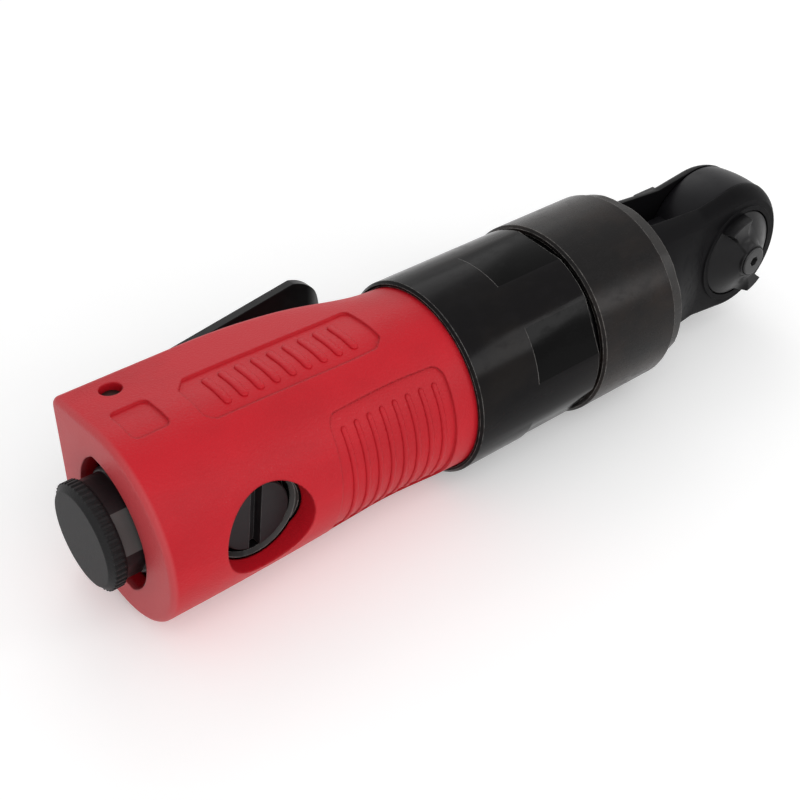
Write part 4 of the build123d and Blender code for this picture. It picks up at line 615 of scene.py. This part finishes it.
FINISHES = {
    "red_plastic": MouldedPlastic(
        "red_plastic", (0.52, 0.008, 0.017), 0.45, 0.22, 2600.0, 0.00006, 0.2, Region.REAR_FACE
    ),
    "cap_plastic": MouldedPlastic("cap_plastic", (0.009, 0.0085, 0.0092), 0.55, 0.2, 2400.0, 0.00003, 0.08),
    "barrel_steel": OxideSteel(
        "barrel_steel", (0.0058, 0.0052, 0.0056), (0.0105, 0.0088, 0.008), (0.25, 0.24, 0.23),
        0.17, 0.06, 0.1, 0.0000015, 0.0000005, Region.PLUG_CHAMFER,
    ),
    "nut_steel": OxideSteel(
        "nut_steel", (0.0068, 0.006, 0.006), (0.018, 0.0125, 0.0102), (0.34, 0.32, 0.3),
        0.26, 0.12, 0.1, 0.000003, 0.000001, Region.NUT_NOSE,
    ),
    "head_steel": OxideSteel(
        "head_steel", (0.0034, 0.0032, 0.0037), (0.0052, 0.0049, 0.0053), (0.02, 0.02, 0.02),
        0.48, 0.05, 0.5, 0.0, 0.000012,
    ),
    "yoke_steel": OxideSteel(
        "yoke_steel", (0.0065, 0.0062, 0.0074), (0.0088, 0.0084, 0.0096), (0.04, 0.04, 0.04),
        0.38, 0.14, 0.4, 0.0, 0.000004,
    ),
    "knob_steel": OxideSteel(
        "knob_steel", (0.0062, 0.006, 0.0066), (0.009, 0.0085, 0.009), (0.07, 0.07, 0.07),
        0.34, 0.16, 0.35, 0.0, 0.00001,
    ),
    "lever_paint": OxideSteel(
        "lever_paint", (0.0026, 0.0022, 0.0026), (0.004, 0.0034, 0.0036), (0.02, 0.02, 0.02),
        0.3, 0.09, 0.5, 0.0, 0.000002,
    ),
    "inlet_steel": OxideSteel(
        "inlet_steel", (0.0085, 0.0045, 0.0055), (0.0115, 0.007, 0.0075), (0.12, 0.12, 0.12),
        0.4, 0.2, 0.3, 0.0, 0.000006, Region.INLET_FLAT,
    ),
    "plug_steel": OxideSteel(
        "plug_steel", (0.013, 0.011, 0.0122), (0.02, 0.018, 0.0188), (0.12, 0.12, 0.12),
        0.5, 0.22, 0.25, 0.0, 0.000006,
    ),
    "screw_steel": OxideSteel(
        "screw_steel", (0.012, 0.012, 0.0125), (0.018, 0.0175, 0.0175), (0.1, 0.1, 0.1),
        0.36, 0.4, 0.3, 0.0, 0.000003,
    ),
    "anvil_steel": OxideSteel(
        "anvil_steel", (0.0075, 0.0073, 0.008), (0.011, 0.0105, 0.011), (0.16, 0.16, 0.16),
        0.36, 0.3, 0.25, 0.0, 0.000005,
    ),
    "pin_steel": PlainMetal("pin_steel", (0.05, 0.028, 0.026), 0.5),
    "bearing_steel": PlainMetal("bearing_steel", (0.7, 0.7, 0.72), 0.16),
    "gear_steel": PlainMetal("gear_steel", (0.42, 0.41, 0.4), 0.34),
    "spring_steel": PlainMetal("spring_steel", (0.34, 0.34, 0.35), 0.3),
    "cast_metal": PlainMetal("cast_metal", (0.36, 0.36, 0.37), 0.45),
    "bronze": PlainMetal("bronze", (0.55, 0.37, 0.17), 0.42),
    "screen_brass": PlainMetal("screen_brass", (0.72, 0.54, 0.24), 0.3),
    "vane_composite": MouldedPlastic("vane_composite", (0.16, 0.09, 0.05), 0.6, 0.3, 1800.0, 0.00002, 0.05),
    "seal_rubber": MouldedPlastic("seal_rubber", (0.02, 0.02, 0.02), 0.65, 0.3, 3000.0, 0.00002, 0.05),
}


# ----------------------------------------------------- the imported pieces
def dress_nodes() -> dict[str, bpy.types.Material]:
    """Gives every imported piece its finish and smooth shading.

    Returns:
        The materials, by slot name.
    """
    materials = {slot: finish.build() for slot, finish in FINISHES.items()}
    slots = {entry["node"]: entry["material_slot"] for entry in frame["record"]["subparts"]}
    for name, piece in frame["nodes"].items():
        material = materials[slots[name]]
        if not piece.data.materials:
            piece.data.materials.append(material)
        for place in piece.material_slots:
            place.material = material
        smooth_by_angle(piece)
        LOG.info("finish %s on %s", slots[name], name)
    return materials


def smooth_by_angle(piece: bpy.types.Object, angle: float = 28.0) -> None:
    """Joins a piece's loose triangles and shades it smoothly, apart from its sharp edges.

    Args:
        piece: the object.
        angle: edges sharper than this, in degrees, stay sharp.
    """
    faces = np.ones(len(piece.data.polygons), dtype=bool)
    piece.data.polygons.foreach_set("use_smooth", faces)
    weld = piece.modifiers.new("weld", "WELD")
    weld.merge_threshold = 0.000002
    split = piece.modifiers.new("sharp_edges", "EDGE_SPLIT")
    split.split_angle = math.radians(angle)


# ------------------------------------------------------------ fine trim
def ring_mesh(name: str, rings: np.ndarray, poles: bool) -> bpy.types.Object:
    """Makes one smooth piece from rings of points along a path.

    Each ring is joined to the next by quads. With poles, the first and the last ring are each
    one point, so the piece is closed by two fans.

    Args:
        name: the piece's name.
        rings: array of shape (rings, points in a ring, 3), in metres.
        poles: whether both ends run into a point; otherwise each end is closed by its ring.

    Returns:
        The new object.
    """
    count, around = rings.shape[:2]
    index = np.arange(count * around).reshape(count, around)
    here, there = index[:-1], index[1:]
    quads = np.stack(
        [here, np.roll(here, -1, axis=1), np.roll(there, -1, axis=1), there], axis=-1
    ).reshape(-1, 4)
    faces = [tuple(int(i) for i in quad) for quad in quads]
    faces += [tuple(int(i) for i in index[0][::-1]), tuple(int(i) for i in index[-1])]
    mesh = bpy.data.meshes.new(name)
    mesh.from_pydata(rings.reshape(-1, 3).tolist(), [], faces)
    build = bmesh.new()
    build.from_mesh(mesh)
    if poles:
        bmesh.ops.remove_doubles(build, verts=build.verts, dist=1e-8)
    bmesh.ops.recalc_face_normals(build, faces=build.faces)
    build.to_mesh(mesh)
    build.free()
    mesh.polygons.foreach_set("use_smooth", np.ones(len(mesh.polygons), dtype=bool))
    piece = bpy.data.objects.new(name, mesh)
    bpy.context.scene.collection.objects.link(piece)
    return piece


class CoverSurface:
    """Finds points on the handle cover's outside, to lay trim on it."""

    def __init__(self) -> None:
        """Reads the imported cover's triangles."""
        mesh = frame["nodes"]["handle_cover"].data
        corners = [vertex.co.copy() for vertex in mesh.vertices]
        self.tree = BVHTree.FromPolygons(corners, [tuple(face.vertices) for face in mesh.polygons])

    def point(self, start: Vector, way: Vector) -> tuple[Vector, Vector]:
        """Follows a line to the cover.

        Args:
            start: a point outside the cover.
            way: the line's direction.

        Returns:
            The point met and the direction out of the surface there.
        """
        place, normal, _, _ = self.tree.ray_cast(start, way)
        if normal.dot(way) > 0:
            normal = -normal
        return place, normal


@dataclass(frozen=True)
class FairedCover:
    """The handle cover, with the lip round its window flush with its round side.

    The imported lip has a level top, which stands proud where the round side falls away to both
    sides of the window. Here each proud point is lowered to y = -sqrt(R(x)^2 - z^2), where R(x)
    is the round side's radius, taken beside the window at the same x.
    """

    axis_x: float
    ring: float = 9.3 * MM
    beside: float = 10.6 * MM

    def build(self, cover: CoverSurface) -> bpy.types.Object:
        """Makes the cover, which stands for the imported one.

        Args:
            cover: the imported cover's surface.

        Returns:
            The new object.
        """
        source = frame["nodes"]["handle_cover"].data
        points = np.empty(len(source.vertices) * 3)
        source.vertices.foreach_get("co", points)
        points = points.reshape(-1, 3)
        stations = np.linspace(self.axis_x - self.ring, self.axis_x + self.ring, 12)
        radii = []
        for x in stations:
            place, _ = cover.point(Vector((float(x), -0.04, self.beside)), Vector((0, 1, 0)))
            radii.append(math.hypot(place.y, place.z))
        x, y, z = points.T
        level = -np.sqrt(np.maximum(0.0, np.interp(x, stations, radii) ** 2 - z ** 2))
        near = np.hypot(x - self.axis_x, z) < self.ring
        proud = near & (y < level) & (y < -10.0 * MM)
        points[proud, 1] = level[proud]
        mesh = bpy.data.meshes.new("faired_cover")
        mesh.from_pydata(points.tolist(), [], [tuple(face.vertices) for face in source.polygons])
        build = bmesh.new()
        build.from_mesh(mesh)
        bmesh.ops.remove_doubles(build, verts=build.verts, dist=2e-6)
        bmesh.ops.dissolve_degenerate(build, edges=build.edges, dist=2e-6)
        build.to_mesh(mesh)
        build.free()
        piece = bpy.data.objects.new("faired_cover", mesh)
        bpy.context.scene.collection.objects.link(piece)
        smooth_by_angle(piece)
        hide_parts("handle_cover")
        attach(piece, "housing")
        return piece


@dataclass(frozen=True)
class RaisedRibs:
    """A row of plain raised ribs with round ends, moulded on a pocket's floor.

    In plan each rib is a stadium. Its section is a half oval of the given height, and it
    reaches a little under the floor that it stands on.
    """

    name: str
    way: tuple[float, float, float]
    across: tuple[float, float, float]
    first_x: float
    last_x: float
    count: int
    middle: float
    length: float
    width: float
    height: float

    def rings(self, cover: CoverSurface, x: float) -> np.ndarray:
        """Works out one rib's rings, from one end's pole to the other's.

        Args:
            cover: the surface that it stands on.
            x: the rib's place along the tool.

        Returns:
            Array of shape (rings, points in a ring, 3).
        """
        half, radius = self.length / 2, self.width / 2
        way, across = Vector(self.way), Vector(self.across)
        turns = np.linspace(0.0, math.pi, 9)
        round_end = -radius * np.cos(turns[:5])
        stations = np.concatenate([
            -half + radius + round_end,
            np.linspace(-half + radius, half - radius, 14)[1:-1],
            half - radius - round_end[::-1],
        ])
        rings = []
        for station in stations:
            past = max(0.0, abs(station) - (half - radius))
            wide = math.sqrt(max(0.0, radius ** 2 - past ** 2))
            ring = []
            for angle in np.linspace(0.0, 2 * math.pi, 17)[:-1]:
                side = wide * math.cos(angle)
                rise = self.height * math.sqrt(wide / radius) * max(0.0, math.sin(angle)) ** 0.6
                sunk = 0.12 * MM * min(0.0, math.sin(angle)) * (wide / radius)
                start = Vector((x + side, 0, 0)) + across * (self.middle + station) - way * 0.03
                place, normal = cover.point(start, way)
                ring.append(place + normal * (rise + sunk - 0.04 * MM))
            rings.append(ring)
        return np.array(rings)

    def build(self, cover: CoverSurface) -> bpy.types.Object:
        """Makes the whole row as one piece that rides on the housing.

        Args:
            cover: the surface that the ribs stand on.

        Returns:
            The new object.
        """
        pieces = [
            ring_mesh(self.name, self.rings(cover, float(x)), poles=True)
            for x in np.linspace(self.first_x, self.last_x, self.count)
        ]
        row = join_pieces(self.name, pieces)
        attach(row, "housing")
        return row


def join_pieces(name: str, pieces: list[bpy.types.Object]) -> bpy.types.Object:
    """Joins pieces into the first one.

    Args:
        name: the joined piece's name.
        pieces: the objects; all but the first are removed.

    Returns:
        The joined object.
    """
    build = bmesh.new()
    for piece in pieces:
        build.from_mesh(piece.data)
    mesh = bpy.data.meshes.new(name)
    build.to_mesh(mesh)
    build.free()
    mesh.polygons.foreach_set("use_smooth", np.ones(len(mesh.polygons), dtype=bool))
    for piece in pieces:
        old = piece.data
        bpy.data.objects.remove(piece)
        bpy.data.meshes.remove(old)
    joined = bpy.data.objects.new(name, mesh)
    bpy.context.scene.collection.objects.link(joined)
    return joined


@dataclass(frozen=True)
class InletThread:
    """The tapped pipe thread inside the inlet bushing.

    Its line is a helix round X: at angle t the ridge stands at x = start + pitch * t / (2 pi).
    The ridge's section is a triangle with a blunt crest, on the bore's wall, and it tapers out
    over the first and the last half turn.
    """

    pitch: float
    depth: float
    wall_radius: float
    start: float
    end: float

    def build(self) -> bpy.types.Object:
        """Makes the thread, which rides on the housing.

        Returns:
            The new object.
        """
        turns = (self.end - self.start) / self.pitch
        angles = np.linspace(0.0, 2 * math.pi * turns, int(48 * turns) + 1)
        section = [(-0.48, -0.06), (-0.09, 1.0), (0.09, 1.0), (0.48, -0.06)]
        rings = []
        for angle in angles:
            run = min(angle, angles[-1] - angle) / math.pi
            full = min(1.0, 0.04 + run)
            middle = self.start + self.pitch * angle / (2 * math.pi)
            ring = []
            for along, inward in section:
                radius = self.wall_radius - self.depth * (inward * full if inward > 0 else inward)
                ring.append((
                    middle + along * self.pitch,
                    radius * math.cos(angle),
                    radius * math.sin(angle),
                ))
            rings.append(ring)
        thread = ring_mesh("inlet_thread", np.array(rings), poles=False)
        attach(thread, "housing")
        return thread


@dataclass(frozen=True)
class GripEdge:
    """One long edge of the knob's grip, from the screw out to the rim.

    Its distance from the grip's middle line is a parabola of q, where q runs from about 0 at
    the hub to 1 near the rim. The wall stands between the foot and the top, and bends as a
    power: 1 is straight, and more is more hollow.
    """

    top: tuple[float, float, float]
    foot: tuple[float, float, float]
    power: float

    def share(self, away: np.ndarray, along: np.ndarray) -> np.ndarray:
        """Works out how far up the wall each point stands.

        Args:
            away: distance from the grip's middle line, towards this edge, in millimetres.
            along: distance from the hub's middle, along the grip, in millimetres.

        Returns:
            0 outside the foot, 1 inside the top.
        """
        q = np.clip((along - 3.0) / 5.6, -0.1, 1.1)
        top = self.top[0] + q * (self.top[1] + q * self.top[2])
        foot = self.foot[0] + q * (self.foot[1] + q * self.foot[2])
        return np.clip((foot - away) / np.maximum(foot - top, 0.2), 0.0, 1.0) ** self.power


STEEP_EDGE = GripEdge((1.2, 0.0, 2.0), (1.6, 0.0, 1.9), 1.0)
BITTEN_EDGE = GripEdge((1.7, -2.9, 3.7), (3.5, 0.6, -1.0), 1.6)
HOLLOW_EDGE = GripEdge((1.68, -4.55, 3.48), (3.47, 1.0, -2.0), 1.5)


@dataclass(frozen=True)
class ReverseKnob:
    """The sculpted reverse knob: a cone with a grip across it, round the square drive's axis.

    Every point of its top stands out along -Y by a height. On the cone the height is
    rim + slope * (radius - r). Along the grip it is crest + (hub - crest) * exp(-(d / 1.3)^2),
    where d is the distance past the hub in millimetres, so that the grip dips behind the hub,
    and it swells by lift * q^2 towards its ends. The grip's edges blend the two.
    """

    axis_x: float
    radius: float = 9.25
    inner: float = 7.1
    rim: float = 8.35
    slope: float = 0.58
    crest: float = 10.75
    lift: float = 0.3
    hub: float = 12.3
    hub_radius: float = 3.35
    screw_radius: float = 3.02
    screw_seat: float = 11.0
    bore: float = 1.35
    socket: float = 2.7
    socket_end: float = 8.4
    turn: float = 20.0

    def height(self, radius: np.ndarray, angle: np.ndarray) -> np.ndarray:
        """Works out the top's height.

        Args:
            radius: distance from the axis, in millimetres.
            angle: turn from the grip's middle line, in radians.

        Returns:
            The height out along -Y, in millimetres.
        """
        across, along = radius * np.sin(angle), radius * np.cos(angle)
        cone = self.rim + self.slope * (self.radius - radius)
        past = np.maximum(0.0, radius - self.hub_radius)
        q = np.clip((np.abs(along) - 4.0) / 5.0, 0.0, 1.0)
        grip = self.crest + (self.hub - self.crest) * np.exp(-((past / 1.3) ** 2)) + self.lift * q ** 2
        upper = STEEP_EDGE.share(-across, along) * BITTEN_EDGE.share(across, along)
        lower = STEEP_EDGE.share(across, -along) * HOLLOW_EDGE.share(-across, -along)
        share = np.where(along > 0, upper, lower)
        started = np.clip((np.abs(along) - 0.8) / 1.8, 0.0, 1.0)
        share = share * started ** 2 * (3 - 2 * started)
        top = cone + np.maximum(0.0, grip - cone) * share
        return np.maximum(top, self.hub - 4.0 * past)

    def build(self) -> bpy.types.Object:
        """Makes the knob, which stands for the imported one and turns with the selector.

        Returns:
            The new object.
        """
        around = np.linspace(0.0, 2 * math.pi, 289)[:-1]
        reach = np.concatenate([
            np.linspace(self.screw_radius + 0.06, self.radius - 0.2, 66),
            [self.radius - 0.08, self.radius - 0.02],
        ])
        rings = [
            (self.bore, np.full_like(around, self.screw_seat)),
            (self.screw_radius, np.full_like(around, self.screw_seat)),
            (self.screw_radius, np.full_like(around, self.hub - 0.06)),
        ]
        for radius in reach:
            rounding = 0.12 * max(0.0, (radius - self.radius + 0.2) / 0.2) ** 2
            rings.append((radius, self.height(np.full_like(around, radius), around) - rounding))
        rings += [
            (self.radius, self.height(np.full_like(around, self.radius), around) - 0.24),
            (self.radius, np.full_like(around, self.inner + 0.2)),
            (self.radius - 0.2, np.full_like(around, self.inner)),
            (self.socket, np.full_like(around, self.inner)),
            (self.socket, np.full_like(around, self.socket_end)),
            (self.bore, np.full_like(around, self.socket_end)),
            (self.bore, np.full_like(around, self.screw_seat)),
        ]
        start = math.radians(self.turn)
        grid = np.array([
            np.stack([
                self.axis_x + radius * np.sin(around - start),
                -height,
                radius * np.cos(around - start),
            ], axis=-1)
            for radius, height in rings
        ])
        knob = closed_grid("sculpted_knob", grid * MM)
        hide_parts("reverse_knob")
        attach(knob, "selector")
        return knob


def closed_grid(name: str, grid: np.ndarray) -> bpy.types.Object:
    """Makes a ring-shaped piece from a two-parameter grid whose last row is its first again.

    Args:
        name: the piece's name.
        grid: array of shape (rows, points in a row, 3), in metres.

    Returns:
        The new object.
    """
    rows, around = grid.shape[0] - 1, grid.shape[1]
    index = np.arange(rows * around).reshape(rows, around)
    here, there = index, np.roll(index, -1, axis=0)
    quads = np.stack(
        [here, np.roll(here, -1, axis=1), np.roll(there, -1, axis=1), there], axis=-1
    ).reshape(-1, 4)
    mesh = bpy.data.meshes.new(name)
    mesh.from_pydata(grid[:-1].reshape(-1, 3).tolist(), [], quads.tolist())
    build = bmesh.new()
    build.from_mesh(mesh)
    bmesh.ops.recalc_face_normals(build, faces=build.faces)
    build.to_mesh(mesh)
    build.free()
    piece = bpy.data.objects.new(name, mesh)
    bpy.context.scene.collection.objects.link(piece)
    smooth_by_angle(piece, 38.0)
    return piece


def add_trim(materials: dict[str, bpy.types.Material]) -> None:
    """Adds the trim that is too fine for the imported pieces.

    Args:
        materials: the finished materials, by slot name.
    """
    low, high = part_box("reverse_knob")
    knob = ReverseKnob(float(low[0] + high[0]) / 2 / MM).build()
    knob.data.materials.append(materials["knob_steel"])
    LOG.info("trim %s", knob.name)
    cover = CoverSurface()
    low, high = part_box("valve_plug")
    faired = FairedCover(float(low[0] + high[0]) / 2).build(cover)
    faired.data.materials.append(materials["red_plastic"])
    LOG.info("trim %s", faired.name)
    for row in RIB_ROWS:
        piece = row.build(cover)
        piece.data.materials.append(materials["red_plastic"])
        LOG.info("trim %s", piece.name)
    thread = INLET_THREAD.build()
    thread.data.materials.append(materials["inlet_steel"])
    LOG.info("trim %s", thread.name)


RIB_ROWS = [
    RaisedRibs(
        "side_panel_ribs", (0, 0, -1), (0, 1, 0), 23.6 * MM, 48.4 * MM, 9, -0.05 * MM, 7.6 * MM,
        1.5 * MM, 0.42 * MM,
    ),
    RaisedRibs(
        "low_panel_ribs", (0, 1, 0), (0, 0, 1), 38.4 * MM, 57.2 * MM, 8, 0.0, 20.0 * MM,
        1.05 * MM, 0.34 * MM,
    ),
]
INLET_THREAD = InletThread(1.41 * MM, 0.42 * MM, 6.3 * MM, 0.9 * MM, 10.5 * MM)


# ------------------------------------------------------ floor, light, camera
def seen_ray(graph: Graph) -> object:
    """Returns 1 for rays from the camera and for what gloss or glass shows, else 0.

    Args:
        graph: the graph that asks.

    Returns:
        The value's socket.
    """
    path = graph.add("ShaderNodeLightPath").outputs
    seen = graph.math("MAXIMUM", path["Is Camera Ray"], path["Is Glossy Ray"])
    return graph.math("MAXIMUM", seen, path["Is Transmission Ray"])


def add_floor() -> None:
    """Adds the plain pale floor that the tool lies on, with its shadow."""
    low, high = CAD_BOX
    half = 3.0
    height = float(low[2])
    middle = (float(low[0] + high[0]) / 2, float(low[1] + high[1]) / 2)
    corners = [(middle[0] + x * half, middle[1] + y * half, height) for x, y in
               ((-1, -1), (1, -1), (1, 1), (-1, 1))]
    mesh = bpy.data.meshes.new("floor")
    mesh.from_pydata(corners, [], [(0, 1, 2, 3)])
    floor = bpy.data.objects.new("floor", mesh)
    bpy.context.scene.collection.objects.link(floor)
    material = bpy.data.materials.new("floor_white")
    material.use_nodes = True
    surface = material.node_tree.nodes["Principled BSDF"]
    surface.inputs["Base Color"].default_value = (0.95, 0.95, 0.95, 1)
    surface.inputs["Roughness"].default_value = 0.9
    surface.inputs["Specular IOR Level"].default_value = 0.0
    surface.inputs["Emission Color"].default_value = (1, 1, 1, 1)
    graph = Graph(material.node_tree)
    lift = graph.math("MULTIPLY", seen_ray(graph), 0.2)
    material.node_tree.links.new(lift, surface.inputs["Emission Strength"])
    mesh.materials.append(material)


@dataclass(frozen=True)
class SoftLamp:
    """A square area lamp that points at the tool."""

    name: str
    place: tuple[float, float, float]
    side: float
    power: float

    def build(self, target: Vector) -> None:
        """Adds the lamp.

        Args:
            target: point that it shines at.
        """
        data = bpy.data.lights.new(self.name, "AREA")
        data.size = self.side
        data.energy = self.power
        lamp = bpy.data.objects.new(self.name, data)
        lamp.location = self.place
        lamp.rotation_euler = (target - Vector(self.place)).to_track_quat("-Z", "Y").to_euler()
        bpy.context.scene.collection.objects.link(lamp)


LAMPS = [
    SoftLamp("key", (-0.15, -0.65, 0.6), 0.9, 3.2),
    SoftLamp("side", (0.6, -0.66, 0.34), 0.27, 1.1),
    SoftLamp("rim", (0.4, 0.6, 0.6), 0.5, 1.0),
]


def add_light() -> None:
    """Adds a white world, the floor's background and soft lamps."""
    world = bpy.data.worlds.new("studio")
    bpy.context.scene.world = world
    world.use_nodes = True
    tree = world.node_tree
    graph = Graph(tree)
    tree.nodes.clear()
    strength = graph.ramp(seen_ray(graph), 0.0, 1.0, 0.6, 1.0)
    back = graph.add("ShaderNodeBackground", {"Color": (1, 1, 1, 1), "Strength": strength})
    output = graph.add("ShaderNodeOutputWorld")
    tree.links.new(back.outputs[0], output.inputs[0])
    target = Vector((0.08, 0, 0))
    for lamp in LAMPS:
        lamp.build(target)


def add_camera() -> None:
    """Adds the camera at the reference view: above the inlet end, on the window side."""
    data = bpy.data.cameras.new("camera")
    data.lens = 60.3
    data.sensor_width = 36.0
    data.clip_start = 0.01
    camera = bpy.data.objects.new("camera", data)
    forward = Vector((0.5073, 0.6094, -0.6094)).normalized()
    up = Vector((0.3812, 0.4755, 0.7929))
    right = forward.cross(up).normalized()
    up = right.cross(forward)
    turn = Matrix((right, up, -forward)).transposed()
    camera.matrix_world = Matrix.Translation(Vector((-0.0612, -0.1469, 0.1435))) @ turn.to_4x4()
    bpy.context.scene.collection.objects.link(camera)
    bpy.context.scene.camera = camera
    bpy.context.scene.view_settings.view_transform = "Standard"


def main() -> None:
    """Builds everything in order and reports each piece."""
    logging.basicConfig(level=logging.INFO, format="%(message)s")
    add_camera()
    materials = dress_nodes()
    add_trim(materials)
    add_floor()
    add_light()


if __name__ == "__main__":
    main()
